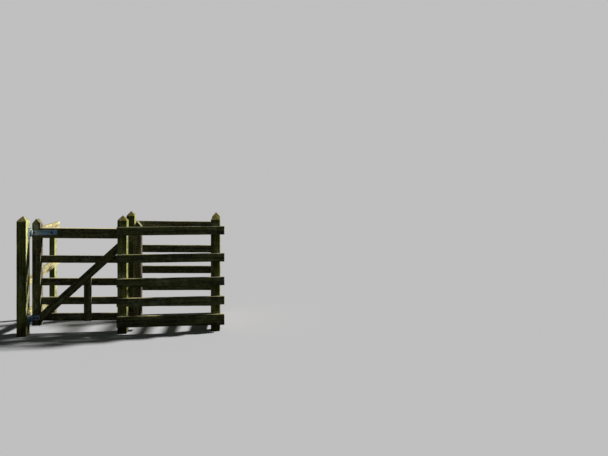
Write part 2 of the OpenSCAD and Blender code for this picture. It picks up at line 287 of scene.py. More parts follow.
class Nodes:
    """Adds nodes to a tree; its methods return the socket that they make."""

    def __init__(self, tree):
        self.tree = tree

    def new(self, kind, **settings):
        node = self.tree.nodes.new(kind)
        for key, value in settings.items():
            setattr(node, key, value)
        return node

    def feed(self, socket, value):
        if isinstance(value, bpy.types.NodeSocket):
            self.tree.links.new(value, socket)
        else:
            socket.default_value = value

    def put(self, kind, inputs, output, **settings):
        node = self.new(kind, **settings)
        for name, value in inputs.items():
            self.feed(node.inputs[name], value)
        return node.outputs[output]

    def math(self, operation, first, second=0.0, clamp=False):
        inputs = {0: first, 1: second}
        return self.put("ShaderNodeMath", inputs, 0, operation=operation, use_clamp=clamp)

    def plus(self, first, second, clamp=False):
        return self.math("ADD", first, second, clamp)

    def times(self, first, second, clamp=False):
        return self.math("MULTIPLY", first, second, clamp)

    def vector(self, operation, first, second):
        return self.put("ShaderNodeVectorMath", {0: first, 1: second}, 0, operation=operation)

    def stretched(self, vector, *scales):
        return self.vector("MULTIPLY", vector, scales)

    def ramp(self, value, low, high, start=0.0, end=1.0):
        """A smooth step from start at low to end at high."""
        inputs = {
            "Value": value, "From Min": low, "From Max": high, "To Min": start, "To Max": end,
        }
        return self.put("ShaderNodeMapRange", inputs, 0, interpolation_type="SMOOTHSTEP")

    def mix(self, amount, first, second, blend="MIX"):
        inputs = {0: amount, 6: first, 7: second}
        return self.put("ShaderNodeMix", inputs, 2, data_type="RGBA", blend_type=blend)

    def noise(self, vector, scale, detail=2.0, roughness=0.5, output="Fac"):
        inputs = {"Vector": vector, "Scale": scale, "Detail": detail, "Roughness": roughness}
        return self.put("ShaderNodeTexNoise", inputs, output)

    def voronoi(self, vector, scale, output="Distance"):
        return self.put("ShaderNodeTexVoronoi", {"Vector": vector, "Scale": scale}, output)

    def split(self, vector):
        node = self.new("ShaderNodeSeparateXYZ")
        self.feed(node.inputs[0], vector)
        return node.outputs


def solid(rgb, level=1.0):
    """A colour socket's value; level makes the colour darker or lighter."""
    return (*(c * level for c in rgb), 1.0)


def shader_group(name, inputs, outputs):
    """An empty shader group: its nodes and its inputs. Inputs come as name and kind of socket,
    outputs, which are all single values, as names."""
    tree = bpy.data.node_groups.new(name, "ShaderNodeTree")
    for label, kind in inputs:
        tree.interface.new_socket(name=label, in_out="INPUT", socket_type=kind)
    for label in outputs:
        tree.interface.new_socket(name=label, in_out="OUTPUT", socket_type=FLOAT)
    return Nodes(tree), tree.nodes.new("NodeGroupInput").outputs


def close_group(nodes, made):
    """Feeds a shader group's outputs and returns its tree."""
    outputs = nodes.new("NodeGroupOutput").inputs
    for label, value in made.items():
        nodes.feed(outputs[label], value)
    return nodes.tree


def use_group(nodes, group, inputs):
    """Places a shader group in a material and returns its outputs."""
    node = nodes.new("ShaderNodeGroup", node_tree=group)
    for name, value in inputs.items():
        nodes.feed(node.inputs[name], value)
    return node.outputs


def grain_group():
    """Solid wood: growth rings round the grain's axis, long fibres and knots."""
    nodes, given = shader_group(
        "sawn_grain", [("Fibre", VECTOR), ("Ring width", FLOAT)],
        ["Late wood", "Fibres", "Streaks", "Knots", "Height"],
    )
    fibre = given["Fibre"]
    streaks = nodes.noise(nodes.stretched(fibre, 2.6, 42.0, 42.0), 1.0, 3.0, 0.6)
    drift = nodes.noise(nodes.stretched(fibre, 2.2, 11.0, 11.0), 1.0, 1.0, output="Color")
    drift = nodes.vector("SUBTRACT", drift, (0.5, 0.5, 0.5))
    wander = nodes.vector("ADD", fibre, nodes.stretched(drift, 0.0, 0.026, 0.026))
    near_knot = nodes.voronoi(nodes.stretched(fibre, 5.2, 6.6, 6.6), 1.0)
    knots = nodes.ramp(near_knot, 0.055, 0.095, 1.0, 0.0)
    # Rings swing aside round a knot
    push = nodes.ramp(near_knot, 0.05, 0.42, 0.014, 0.0)
    bent = nodes.vector("ADD", wander, nodes.vector("MULTIPLY", (0.0, 1.0, 1.0), push))
    # A wave texture of scale 1 has a band for every pi / 10 of a unit
    wave_scale = nodes.math("DIVIDE", math.pi / 10, given["Ring width"])
    rings = nodes.put(
        "ShaderNodeTexWave", {"Vector": bent, "Scale": wave_scale, "Detail": 0.0}, "Fac",
        wave_type="RINGS", rings_direction="X",
    )
    late = nodes.math("POWER", rings, 1.7)
    fine = nodes.noise(nodes.stretched(fibre, 9.0, 300.0, 300.0), 1.0, 3.0, 0.62)
    broad = nodes.noise(nodes.stretched(fibre, 2.4, 55.0, 55.0), 1.0, 2.0)
    relief = nodes.plus(nodes.times(late, 0.45), nodes.times(fine, 0.8))
    return close_group(nodes, {
        "Late wood": late,
        "Fibres": nodes.plus(nodes.times(fine, 0.6), nodes.times(broad, 0.4)),
        "Streaks": nodes.ramp(streaks, 0.36, 0.64),
        "Knots": knots,
        "Height": nodes.plus(relief, nodes.times(knots, 0.5)),
    })


def growth_group():
    """What grows on old timber: algae where it is shaded, blotches and specks, a grey haze, moss on
    the tops and crusts of lichen; and a painted shade film, near black, on faces whose shade passes
    1.1."""
    nodes, given = shader_group(
        "growth", [("Position", VECTOR), ("Shade", FLOAT), ("Up", FLOAT), ("End", FLOAT)],
        ["Algae", "Soaked", "Blotches", "Specks", "Haze", "Moss", "Moss tips", "Lichen", "Height"],
    )
    place, shade = given["Position"], given["Shade"]
    patches = nodes.noise(place, 7.0, 4.0, 0.55)
    spots = nodes.noise(place, 70.0, 3.0, 0.6)
    film = nodes.plus(nodes.times(patches, 0.75), nodes.times(spots, 0.3))
    film = nodes.plus(film, nodes.times(shade, 0.34))
    clumps = nodes.noise(place, 42.0, 4.0, 0.6)
    bed = nodes.plus(clumps, nodes.times(given["End"], 0.16))
    moss = nodes.times(nodes.ramp(bed, 0.46, 0.60), nodes.ramp(given["Up"], 0.25, 0.75))
    moss = nodes.times(moss, nodes.ramp(shade, 0.0, 0.3, 0.25, 1.0))
    cushions = nodes.math("SUBTRACT", 1.3, nodes.voronoi(place, 95.0))
    crust = nodes.ramp(nodes.voronoi(place, 38.0), 0.16, 0.24, 1.0, 0.0)
    colony = nodes.ramp(nodes.noise(place, 9.0, 2.0), 0.56, 0.64)
    return close_group(nodes, {
        "Algae": nodes.ramp(film, 0.50, 0.86),
        # Painted shade: faces pushed past a shade of 1.1 take a near-black film for the shade that
        # fell on them
        "Soaked": nodes.ramp(shade, 1.1, 1.5),
        "Blotches": nodes.ramp(nodes.noise(place, 21.0, 4.0, 0.6), 0.38, 0.62),
        "Specks": nodes.ramp(nodes.noise(place, 85.0, 2.0, 0.6), 0.40, 0.60),
        "Haze": nodes.times(nodes.ramp(nodes.noise(place, 10.0, 4.0, 0.65), 0.50, 0.66), shade),
        "Moss": moss,
        "Moss tips": nodes.ramp(nodes.noise(place, 130.0, 2.0), 0.45, 0.62),
        "Lichen": nodes.times(crust, colony),
        "Height": nodes.times(moss, cushions),
    })


def wear_group():
    """Edge wear and patches: a mask of worn edges broken up by noise, and slow patches of damp."""
    nodes, given = shader_group("wear", [("Position", VECTOR), ("Edge", FLOAT)], ["Worn", "Damp"])
    broken = nodes.noise(given["Position"], 55.0, 3.0, 0.65)
    damp = nodes.noise(nodes.stretched(given["Position"], 4.0, 4.0, 1.6), 1.0, 3.0)
    return close_group(nodes, {
        "Worn": nodes.times(given["Edge"], nodes.ramp(broken, 0.36, 0.60)),
        "Damp": nodes.ramp(damp, 0.42, 0.66),
    })


def spangle_group():
    """Weathered hot-dip zinc: crystals, chalky patches and rust where the coat has gone."""
    nodes, given = shader_group(
        "spangle", [("Position", VECTOR)], ["Crystals", "Chalk", "Rust", "Height"],
    )
    place = given["Position"]
    return close_group(nodes, {
        "Crystals": nodes.split(nodes.voronoi(place, 160.0, "Color"))[0],
        "Chalk": nodes.ramp(nodes.noise(place, 60.0, 4.0, 0.6), 0.45, 0.68),
        "Rust": nodes.ramp(nodes.noise(place, 95.0, 5.0, 0.7), 0.585, 0.68),
        "Height": nodes.noise(place, 420.0, 3.0),
    })


def kept(kind, name, make):
    """A material or node group by name, made the first time that it is asked for."""
    return kind.get(name) or make()


def new_material(name):
    """An empty material: itself, its nodes and its shader."""
    material = bpy.data.materials.new(name)
    material.use_nodes = True
    return material, Nodes(material.node_tree), material.node_tree.nodes["Principled BSDF"]


def timber_material(name, bare, late, algae, green, mossy, bleached):
    """Old softwood out of doors. green and mossy say how far algae and moss have spread, bleached
    how pale the upper faces are made: sun-bleached wood, and partly a painted highlight for sunlit
    tops."""
    finish = bpy.context.scene.gate_finish
    material, nodes, shader = new_material(name)
    place = nodes.new("ShaderNodeTexCoord").outputs["Object"]
    fibre = nodes.new("ShaderNodeAttribute", attribute_name="fibre").outputs["Vector"]
    marks = nodes.new("ShaderNodeAttribute", attribute_name="marks").outputs
    crack, edge, end = nodes.split(marks["Vector"])
    shade = marks["Alpha"]
    up = nodes.split(nodes.new("ShaderNodeNewGeometry").outputs["Normal"])[2]
    height = nodes.split(place)[2]

    groups = bpy.data.node_groups
    grain = use_group(
        nodes, kept(groups, "sawn_grain", grain_group), {"Fibre": fibre, "Ring width": RING_WIDTH},
    )
    growth = use_group(
        nodes, kept(groups, "growth", growth_group),
        {"Position": place, "Shade": shade, "Up": up, "End": end},
    )
    wear = use_group(nodes, kept(groups, "wear", wear_group), {"Position": place, "Edge": edge})
    fibres, streaks, painted_shade = grain["Fibres"], grain["Streaks"], growth["Soaked"]

    # Clean wood, its rings, damp patches, knots and cut ends
    tone = nodes.times(grain["Late wood"], 0.55)
    tone = nodes.plus(tone, nodes.ramp(fibres, 0.62, 0.36, 0.0, 0.6), clamp=True)
    wood = nodes.mix(tone, solid(bare), solid(late))
    wood = nodes.mix(nodes.times(wear["Damp"], 0.35), wood, solid(late))
    wood = nodes.mix(nodes.times(grain["Knots"], 0.8), wood, solid(late, 0.45))
    wood = nodes.mix(nodes.times(end, 0.35), wood, solid(late, 0.7))
    # The film over it: fresh and old algae, grey haze, and the near-black painted shade film
    fresh = [algae[0] * 1.05, algae[1] * 1.1, algae[2] * 0.8]
    old = [algae[0] * 0.55, algae[1] * 0.53, algae[2] * 0.75]
    film = nodes.mix(streaks, solid(old), solid(fresh))
    film = nodes.mix(nodes.times(growth["Haze"], 0.7), film, solid(finish.haze))
    # Painted shade: the algae darkened to 0.4 where the shade passes 1.1
    film = nodes.mix(nodes.times(painted_shade, 0.9), film, solid(algae, 0.4))
    cover = nodes.math("MAXIMUM", nodes.times(growth["Algae"], green), painted_shade)
    wood = nodes.mix(cover, wood, film)
    # Light and dark from streaks, blotches, specks and fibres
    value = nodes.plus(nodes.times(streaks, 0.45), nodes.times(growth["Blotches"], 0.4))
    value = nodes.plus(value, nodes.times(growth["Specks"], 0.45))
    value = nodes.plus(value, nodes.ramp(fibres, 0.38, 0.62, 0.0, 0.4))
    wood = nodes.mix(1.0, wood, nodes.plus(value, 0.18), "MULTIPLY")
    # What lies on top: pale upper faces, sun-bleached and partly a painted highlight, rubbed edges,
    # lichen, moss, soil; then the open checks
    dry = nodes.times(nodes.ramp(up, 0.5, 0.9), nodes.ramp(shade, 0.5, 1.0, bleached, 0.0))
    dry = nodes.times(dry, nodes.ramp(fibres, 0.3, 0.55, 0.55, 1.0))
    wood = nodes.mix(dry, wood, solid(finish.straw_and_painted_highlight))
    wood = nodes.mix(nodes.times(wear["Worn"], 0.3), wood, solid(bare, 1.15))
    wood = nodes.mix(nodes.times(growth["Lichen"], 0.55), wood, solid(finish.lichen))
    tuft = nodes.mix(growth["Moss tips"], solid(finish.moss), solid(finish.moss_tip))
    moss = nodes.times(growth["Moss"], mossy)
    wood = nodes.mix(moss, wood, tuft)
    splash = nodes.plus(height, nodes.times(fibres, 0.12))
    wood = nodes.mix(nodes.ramp(splash, 0.08, 0.26, 0.75, 0.0), wood, solid(finish.soil))
    # Open checks darkened nearly to black: dirt in them, and painted shade in the cracks
    wood = nodes.mix(nodes.times(crack, 0.92, clamp=True), wood, solid(late, 0.12))
    nodes.feed(shader.inputs["Base Color"], wood)

    rough = nodes.plus(0.74, nodes.times(fibres, 0.22))
    rough = nodes.plus(rough, nodes.times(moss, 0.1), clamp=True)
    nodes.feed(shader.inputs["Roughness"], rough)
    shader.inputs["Specular IOR Level"].default_value = TIMBER_SHEEN
    swell = nodes.times(growth["Height"], mossy * 3.0)
    bump = {"Height": nodes.plus(grain["Height"], swell), **TIMBER_BUMP}
    nodes.feed(shader.inputs["Normal"], nodes.put("ShaderNodeBump", bump, "Normal"))
    return material


def steel_material(name, rusted):
    """Galvanised steel that has stood in the weather. rusted says how much of its zinc has gone
    besides the patches that all of it has."""
    finish = bpy.context.scene.gate_finish
    material, nodes, shader = new_material(name)
    place = nodes.new("ShaderNodeTexCoord").outputs["Object"]
    group = kept(bpy.data.node_groups, "spangle", spangle_group)
    zinc = use_group(nodes, group, {"Position": place})
    chalk = nodes.times(zinc["Chalk"], 0.6)
    # The blue of the zinc colours is partly a painted reflection of blue sky
    metal = nodes.mix(zinc["Crystals"], solid(finish.zinc, 0.72), solid(finish.zinc))
    metal = nodes.mix(chalk, metal, solid(finish.zinc_dull))
    rust = nodes.math("MAXIMUM", zinc["Rust"], rusted)
    nodes.feed(shader.inputs["Base Color"], nodes.mix(rust, metal, solid(finish.rust)))
    covered = nodes.math("MAXIMUM", rust, chalk)
    nodes.feed(shader.inputs["Metallic"], nodes.ramp(covered, 0.0, 1.0, 0.85, 0.1))
    rough = nodes.ramp(covered, 0.0, 1.0, 0.42, 0.85)
    rough = nodes.plus(rough, nodes.times(zinc["Crystals"], 0.1))
    nodes.feed(shader.inputs["Roughness"], rough)
    bump = {"Height": zinc["Height"], **STEEL_BUMP}
    nodes.feed(shader.inputs["Normal"], nodes.put("ShaderNodeBump", bump, "Normal"))
    return material


def finish_for(slot):
    """The finish of one of the record's slots, kept apart from the frame's plain material of that
    name, or rusty_nails."""
    finish = bpy.context.scene.gate_finish
    name = "old_" + slot

    def make():
        if slot in RUSTED:
            return steel_material(name, RUSTED[slot])
        kind = slot.removesuffix("_timber")
        colours = [getattr(finish, f"{kind}_{part}") for part in ("bare", "late", "algae")]
        return timber_material(name, *colours, *SPREAD[slot])

    return kept(bpy.data.materials, name, make)


# Timber

# Wave lengths of the wear: along the grain, and round the section where a second one is given
BROAD_WAVE, RIDGE_WAVE = (0.25, 0.05), (0.6, 0.016)
NICK_WAVE, RUB_WAVE, GAPE_WAVE, WANDER_WAVE, END_WAVE = 0.09, 0.3, 0.05, 0.16, 0.02
# Width round the section over which nicks and rubbed stretches stay the same
NICK_WIDTH = 0.02
# A check's stretch as a share of the length, its depth and width as shares of the greatest, and the
# share of the thickness that it goes in at the most
CHECK_REACH, CHECK_SIZE, CHECK_IN = (0.18, 0.6), (0.35, 1.0), 0.32
# How far a check strays from its line, and how far its lips stand apart and sink at the least
CHECK_WANDER, LIP_GAP, LIP_SINK = 0.0018, 0.0003, 0.0002
# What the seeds of a timber's different ripples differ by
RIDGES, NICKS, RUBBED, GAPES, WANDERS, ENDS = 1, 2, 3, 5, 31, 60
# A face narrower than this holds one check at most
NARROW_FACE = 0.05
# How far the cutters of the mortises pass the rails' ends
MORTISE_PAST = 0.05
# How far apart along the grain two seeds lie, so that no two timbers share their figure
GRAIN_STEP = 1.7


class Cut:
    """A plane that ends a timber, by a point on it and its normal."""

    def __init__(self, point, normal):
        self.point = Vector(point)
        self.normal = Vector(normal)

    def along(self, timber, a, b):
        """How far along the timber the cut lies, at a across and b through it."""
        slope = timber.along.dot(self.normal)
        level = (self.point - timber.origin).dot(self.normal)
        side = a * timber.across.dot(self.normal) + b * timber.through.dot(self.normal)
        return (level - side) / slope


class Timber:
    """A length of timber: a rectangle swept along its grain between cuts at both ends."""

    def __init__(self, node, kind, origin, along, across, width, depth, starts, stops):
        self.node = node
        self.origin = Vector(origin)
        self.along = Vector(along).normalized()
        self.through = self.along.cross(Vector(across)).normalized()
        self.across = self.through.cross(self.along)
        self.width = width
        self.depth = depth
        self.starts = starts
        self.stops = stops
        self.heart = HEARTS[kind]
        # Length of a tenon, and its width and depth as shares of the timber's
        self.tenon = None
        # The most drying checks that a face may have
        self.checks = 2
        # What the timber has grown over beyond its like, and the painted shade that it takes: all
        # round, on its sunny side and on top
        self.damp = PAINTED_SHADE_AND_GROWTH.get(node, (0.0, 0.0, 0.0))
        # How much darker and greener it is made at its far end
        self.darkening_rise = DARKENING_RISE.get(node, 0.0)
        # Places across where a plain point must lie, because the end is cut in two planes
        self.kinks = ()

    def start(self, a, b):
        return np.max([cut.along(self, a, b) for cut in self.starts], axis=0)

    def stop(self, a, b):
        return np.min([cut.along(self, a, b) for cut in self.stops], axis=0)

    def height_at(self, x):
        """Height of the middle of a timber that runs along X, at x."""
        return self.origin.z + (x - self.origin.x) * self.along.z / self.along.x

    def span(self):
        """Length along the middle."""
        middle = np.zeros(1)
        return float(self.stop(middle, middle)[0] - self.start(middle, middle)[0])

    def place(self, x, a, b):
        """World points from distances along, across and through."""
        axes = np.array([self.along, self.across, self.through])
        return np.array(self.origin) + np.stack([x, a, b], axis=-1) @ axes


def ripple(seed, *axes):
    """Smooth noise from about -1 to 1; a wave is about one unit of each axis."""
    rng = np.random.default_rng(seed)
    waves = 7
    total = 0.0
    for _ in range(waves):
        pace = rng.uniform(0.45, 1.35, len(axes)) * rng.choice((-1, 1), len(axes))
        phase = sum(axis * k for axis, k in zip(axes, pace))
        total = total + np.sin(2 * math.pi * (phase + rng.random()))
    return np.clip(total / math.sqrt(waves), -1.4, 1.4)


def smooth(value):
    """Smooth step from 0 at 0 to 1 at 1."""
    value = np.clip(value, 0.0, 1.0)
    return value * value * (3 - 2 * value)


# Outward normals of a section's four sides, anticlockwise
SIDES = ((1, 0), (0, 1), (-1, 0), (0, -1))
CORNER_TURNS = (1 / 3, 2 / 3)


def draw_checks(timber, rng, span, settings):
    """Drying checks: each has a side, a place on it, a stretch that it runs, a depth and a width."""
    checks = []
    for side in range(len(SIDES)):
        run = timber.depth if side % 2 == 0 else timber.width
        thick = timber.width if side % 2 == 0 else timber.depth
        number = rng.integers(0, (timber.checks if run > NARROW_FACE else 1) + 1)
        for k in range(number):
            if number == 1:
                place = run * (0.5 + rng.uniform(-0.32, 0.32))
            else:
                place = run * (0.22 + 0.56 * (k + rng.random() * 0.6) / number)
            reach = span * rng.uniform(*CHECK_REACH)
            middle = rng.choice((rng.uniform(0.1, 0.9) * span, span, 0.0))
            deep = min(settings.check_depth, CHECK_IN * thick) * rng.uniform(*CHECK_SIZE)
            wide = settings.check_width * rng.uniform(*CHECK_SIZE)
            checks.append((side, place, middle - reach / 2, middle + reach / 2, deep, wide))
    return checks


class Section:
    """Points round a timber's section, anticlockwise, with what the relief needs at each."""

    def __init__(self, timber, settings, checks):
        self.a, self.b, self.normal, self.girth = [], [], [], []
        self.corner, self.lip, self.check = [], [], []
        radius, gap = settings.arris, settings.check_width * 2
        walked = 0.0
        for side, (na, nb) in enumerate(SIDES):
            run, reach = timber.depth, timber.width / 2
            if side % 2:
                run, reach = timber.width, timber.depth / 2
            count = 2 * math.ceil((run - 2 * radius) / settings.face_step / 2) + 1
            here = [
                (place, lip, k) for k, (where, place, *_) in enumerate(checks) if where == side
                for lip in (-1, 0, 1)
            ]
            kinks = [run / 2 - nb * k for k in timber.kinks] if nb else []
            plain = [*np.linspace(radius, run - radius, count), *kinks]
            plain = [t for t in plain if all(abs(t - spot) > gap for spot, _, _ in here)]
            spots = sorted([(t, 0, -1) for t in plain] + here, key=lambda spot: (spot[0], spot[1]))
            for t, lip, check in spots:
                off = t - run / 2
                self.add(
                    na * reach - nb * off, nb * reach + na * off, (na, nb),
                    walked + t, 0.0, lip, check,
                )
            middle_a = na * (reach - radius) - nb * (run / 2 - radius)
            middle_b = nb * (reach - radius) + na * (run / 2 - radius)
            for turn in CORNER_TURNS:
                c, s = math.cos(turn * math.pi / 2), math.sin(turn * math.pi / 2)
                normal = (na * c - nb * s, nb * c + na * s)
                self.add(
                    middle_a + radius * normal[0], middle_b + radius * normal[1], normal,
                    walked + run, 1.0, 0, -1,
                )
            walked += run
        for key, value in vars(self).items():
            setattr(self, key, np.array(value))

    def add(self, *values):
        """Adds a point: a, b, normal, girth, corner, lip and check."""
        for made, value in zip(vars(self).values(), values):
            made.append(value)


def relieve(section, x, seed, settings, checks):
    """Depths of wear below the section at distances x, and the checks' sideways shifts and masks."""
    girth = section.girth[None, :]
    turn = 2 * math.pi * section.girth / section.girth[-1]
    size = section.girth[-1] / (2 * math.pi)
    circle = [way[None, :] * size / BROAD_WAVE[1] for way in (np.cos(turn), np.sin(turn))]
    broad = 0.5 + 0.4 * ripple(seed, x / BROAD_WAVE[0], *circle)
    ridges = 0.5 + 0.4 * ripple(seed + RIDGES, x / RIDGE_WAVE[0], girth / RIDGE_WAVE[1] + 0 * x)
    depth = settings.skin + settings.relief * (0.45 * broad + 0.55 * ridges)
    stretch = np.floor(girth / NICK_WIDTH)
    nick = np.clip(ripple(seed + NICKS, x / NICK_WAVE, stretch * 0.37) - 0.25, 0.0, 1.0) ** 1.5
    rub = np.clip(0.35 + 0.4 * ripple(seed + RUBBED, x / RUB_WAVE, stretch * 0.61), 0.0, 1.0)
    depth = depth + section.corner[None, :] * settings.arris_wear * (0.75 * nick + 0.25 * rub)
    shift, open_mask = np.zeros_like(depth), np.zeros_like(depth)
    for k, (_, _, first, last, deep, wide) in enumerate(checks):
        mine = section.check == k
        along = x[:, mine]
        rim = np.minimum(along - first, last - along) / (0.3 * (last - first))
        gape = smooth(rim) * (0.8 + 0.2 * ripple(seed + GAPES + k, along / GAPE_WAVE))
        lip = section.lip[mine][None, :]
        wander = CHECK_WANDER * ripple(seed + WANDERS + k, along[:, :1] / WANDER_WAVE)
        shift[:, mine] = wander + lip * (LIP_GAP + 0.5 * wide * gape)
        depth[:, mine] += np.where(lip == 0, deep * gape, LIP_SINK)
        open_mask[:, mine] = np.where(lip == 0, gape, 0.12 * gape)
    return depth, shift, open_mask


def stations(timber, settings):
    """Where the rings lie. For each: from which end, distance from it or share, inset and tenon."""
    ease = settings.end_ease
    second, sunk = 0.4 * ease, 0.35 * ease
    number = max(4, round(timber.span() / settings.ring_step))
    if timber.tenon is None:
        inner = [("share", k / number, 0.0, False) for k in range(number + 1)]
        return [
            ("start", 0.0, ease, False), ("start", second, sunk, False), *inner,
            ("stop", -second, sunk, False), ("stop", 0.0, ease, False),
        ]
    shoulder = timber.tenon[0]
    few = max(2, round(shoulder / settings.ring_step / 2))
    body = timber.span() - 2 * shoulder
    tongue = [k * (shoulder - ease) / few + ease for k in range(few + 1)]
    rings = [("start", 0.0, ease, True)] + [("start", d, 0.0, True) for d in tongue]
    rings += [("start", shoulder, ease, False), ("start", shoulder + ease, 0.0, False)]
    rings += [("start", shoulder + body * k / number, 0.0, False) for k in range(1, number)]
    rings += [("stop", -shoulder - ease, 0.0, False), ("stop", -shoulder, ease, False)]
    rings += [("stop", -d, 0.0, True) for d in reversed(tongue)] + [("stop", 0.0, ease, True)]
    return rings


def sweep(timber, seed, settings):
    """The timber's mesh: rings along the grain and closed ends, all worn below the sawn size."""
    rng = np.random.default_rng(seed)
    checks = draw_checks(timber, rng, timber.span(), settings)
    section = Section(timber, settings, checks)
    first, last = timber.start(section.a, section.b), timber.stop(section.a, section.b)
    margin = settings.end_ease
    xs, insets, scales = [], [], []
    for base, value, inset, tenon in stations(timber, settings):
        if base == "share":
            xs.append(first + margin + value * (last - first - 2 * margin))
        else:
            xs.append((first if base == "start" else last) + value)
        insets.append(inset)
        scales.append(timber.tenon[1:] if tenon else (1.0, 1.0))
    x, inset, scale = np.array(xs), np.array(insets)[:, None], np.array(scales)
    depth, shift, gape = relieve(section, x, seed, settings, checks)
    depth = depth + inset
    a = section.a * scale[:, :1] - section.normal[:, 0] * depth - section.normal[:, 1] * shift
    b = section.b * scale[:, 1:] - section.normal[:, 1] * depth + section.normal[:, 0] * shift

    number, rings = len(section.a), len(x)
    points = [np.stack([x, a, b], axis=-1).reshape(-1, 3)]
    marks = [np.stack([gape, section.corner + 0 * x, 0 * x], axis=-1).reshape(-1, 3)]
    faces = []
    nxt = np.roll(np.arange(number), -1)

    def band(low, high):
        for j in range(number):
            faces.append((low + j, low + nxt[j], high + nxt[j], high + j))

    for i in range(rings - 1):
        band(i * number, (i + 1) * number)

    def cap(ring, end, outward):
        """Loops of points that close an end, down to one point in the middle."""
        size = np.array(scale[ring])
        loops = max(3, round(min(timber.width, timber.depth) / 2 / settings.face_step))
        outer, total = ring * number, sum(len(p) for p in points)
        for k in range(1, loops):
            q = 1 - k / loops
            ca, cb = a[ring] * q, b[ring] * q
            rough = np.maximum(0, 1 + ripple(seed + ENDS, ca / END_WAVE, cb / END_WAVE))
            sunk = 0.5 * settings.relief * rough
            split = np.where(section.lip == 0, gape[ring], 0.0) * (section.check >= 0)
            sunk = sunk + split * settings.check_depth * max(0.0, q - 0.3)
            sunk = sunk + settings.relief * 2 * (1 - q) ** 3
            cx = end(ca / size[0], cb / size[1]) - outward * sunk
            points.append(np.stack([cx, ca, cb], axis=-1))
            crack = split * smooth(np.full(number, q * 2 - 0.4))
            marks.append(np.stack([crack, np.zeros(number), np.ones(number)], axis=-1))
            if outward > 0:
                band(outer, total)
            else:
                band(total, outer)
            outer, total = total, total + number
        tip = end(np.zeros(1), np.zeros(1)) - outward * settings.relief * 3
        points.append(np.array([[tip[0], 0.0, 0.0]]))
        marks.append(np.array([[0.0, 0.0, 1.0]]))
        for j in range(number):
            loop = (outer + j, outer + nxt[j], total)
            faces.append(loop if outward > 0 else loop[::-1])

    cap(0, timber.start, -1)
    cap(rings - 1, timber.stop, 1)
    return np.concatenate(points), np.concatenate(marks), faces


def add_grain(mesh, fibre, marks):
    """Stores what the timber finishes read at each point: its place along and round the heart of
    the grain, and its marks of crack, edge, end and shade."""
    for name, kind, key, values in (
        ("fibre", "FLOAT_VECTOR", "vector", fibre), ("marks", "FLOAT_COLOR", "color", marks),
    ):
        attribute = mesh.attributes.new(name, kind, "POINT")
        attribute.data.foreach_set(key, values.astype(np.float32).ravel())


def growth_and_painted_shade(timber, normals, part):
    """How far each point has grown over, from the way that it faces, with the timber's extra growth
    and painted shade added all round, on its sunny side, on top and towards its far end; past 1.1
    this paints a near-black shade film.
    """
    all_round, sunny, on_top = timber.damp
    shade = 0.5 - 0.55 * normals[:, 0] - 0.45 * normals[:, 1] - 0.15 * normals[:, 2]
    shade = np.clip(shade, 0.0, 1.0) + all_round + timber.darkening_rise * (part - 0.5)
    return shade + (
        sunny * np.maximum(normals[:, 0], 0.0) + on_top * np.maximum(normals[:, 2], 0.0)
    )


def timber_piece(timber, slot, seed):
    """Makes the mesh that stands for a timber's CAD node."""
    settings = bpy.context.scene.gate_timber
    local, marks, faces = sweep(timber, seed, settings)
    mesh = bpy.data.meshes.new(timber.node + "_timber")
    mesh.from_pydata(timber.place(local[:, 0], local[:, 1], local[:, 2]).tolist(), [], faces)
    mesh.update()
    normals = np.zeros(len(mesh.vertices) * 3)
    mesh.vertices.foreach_get("normal", normals)
    shade = growth_and_painted_shade(timber, normals.reshape(-1, 3), local[:, 0] / timber.span())
    fibre = local + np.array([seed * GRAIN_STEP, *timber.heart])
    add_grain(mesh, fibre, np.column_stack([marks, shade]))
    mesh.shade_smooth()
    mesh.set_sharp_from_angle(angle=TIMBER_SHARP)
    mesh.materials.append(finish_for(slot))
    return new_piece(timber.node + "_timber", mesh)


def settle(piece, body, slot, *nodes):
    """Hangs a finished piece on the body that it rides on and hides the CAD nodes that it stands
    for; slot is not used.
    """
    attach(piece, body)
    if nodes:
        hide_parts(*nodes)


def node_points(node):
    """A CAD node's corners, as rows of x, y and z."""
    return np.array([v.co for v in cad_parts[node].data.vertices])


def middle_of(node):
    """The middle of a CAD node's box."""
    low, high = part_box(node)
    return (low + high) / 2


def ends_at(points, axis, value):
    """The points of a CAD node that lie at a value of one axis."""
    return points[np.abs(points[:, axis] - value) < SAME]


def halfway(points, axis):
    """Half way between the lowest and the highest value of one axis."""
    return (points[:, axis].min() + points[:, axis].max()) / 2


def extent(points, axis):
    """Distance from the lowest to the highest value of one axis."""
    return points[:, axis].max() - points[:, axis].min()


def post_timber(node, turn=0.0):
    """A post with a four-way weathered top, turned clockwise about Z."""
    points = node_points(node)
    foot = ends_at(points, 2, points[:, 2].min())
    centre = Vector((halfway(foot, 0), halfway(foot, 1), 0.0))
    across = Vector((math.cos(turn), -math.sin(turn), 0))
    ways = (across, Z.cross(across))
    reach = [max((Vector(p) - centre).dot(way) for p in foot) for way in ways]
    tip = Vector((centre.x, centre.y, points[:, 2].max()))
    upright = points[points[:, 2] < points[:, 2].max() - SAME]
    rise = tip.z - upright[:, 2].max()
    roofs = [Cut(tip, Z * half + d * rise) for half, way in zip(reach, ways) for d in (way, -way)]
    size = [2 * half for half in reach]
    return Timber(node, "post", centre, Z, across, *size, [Cut(centre, Z)], roofs)


def board_timber(node, full_at=None):
    """A board along X between upright cuts, which may fall to one end. Its width is measured at
    full_at, or else at its start."""
    low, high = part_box(node)
    points = node_points(node)
    ends = [ends_at(points, 0, x) for x in (low.x, high.x)]
    start, stop = [Vector((end[0, 0], (low.y + high.y) / 2, halfway(end, 2))) for end in ends]
    along = (stop - start).normalized()
    full = ends[0] if full_at is None else ends_at(points, 0, full_at)
    size = (extent(full, 2) * along.x, high.y - low.y)
    return Timber(node, "board", start, along, Z, *size, [Cut(start, X)], [Cut(stop, X)])


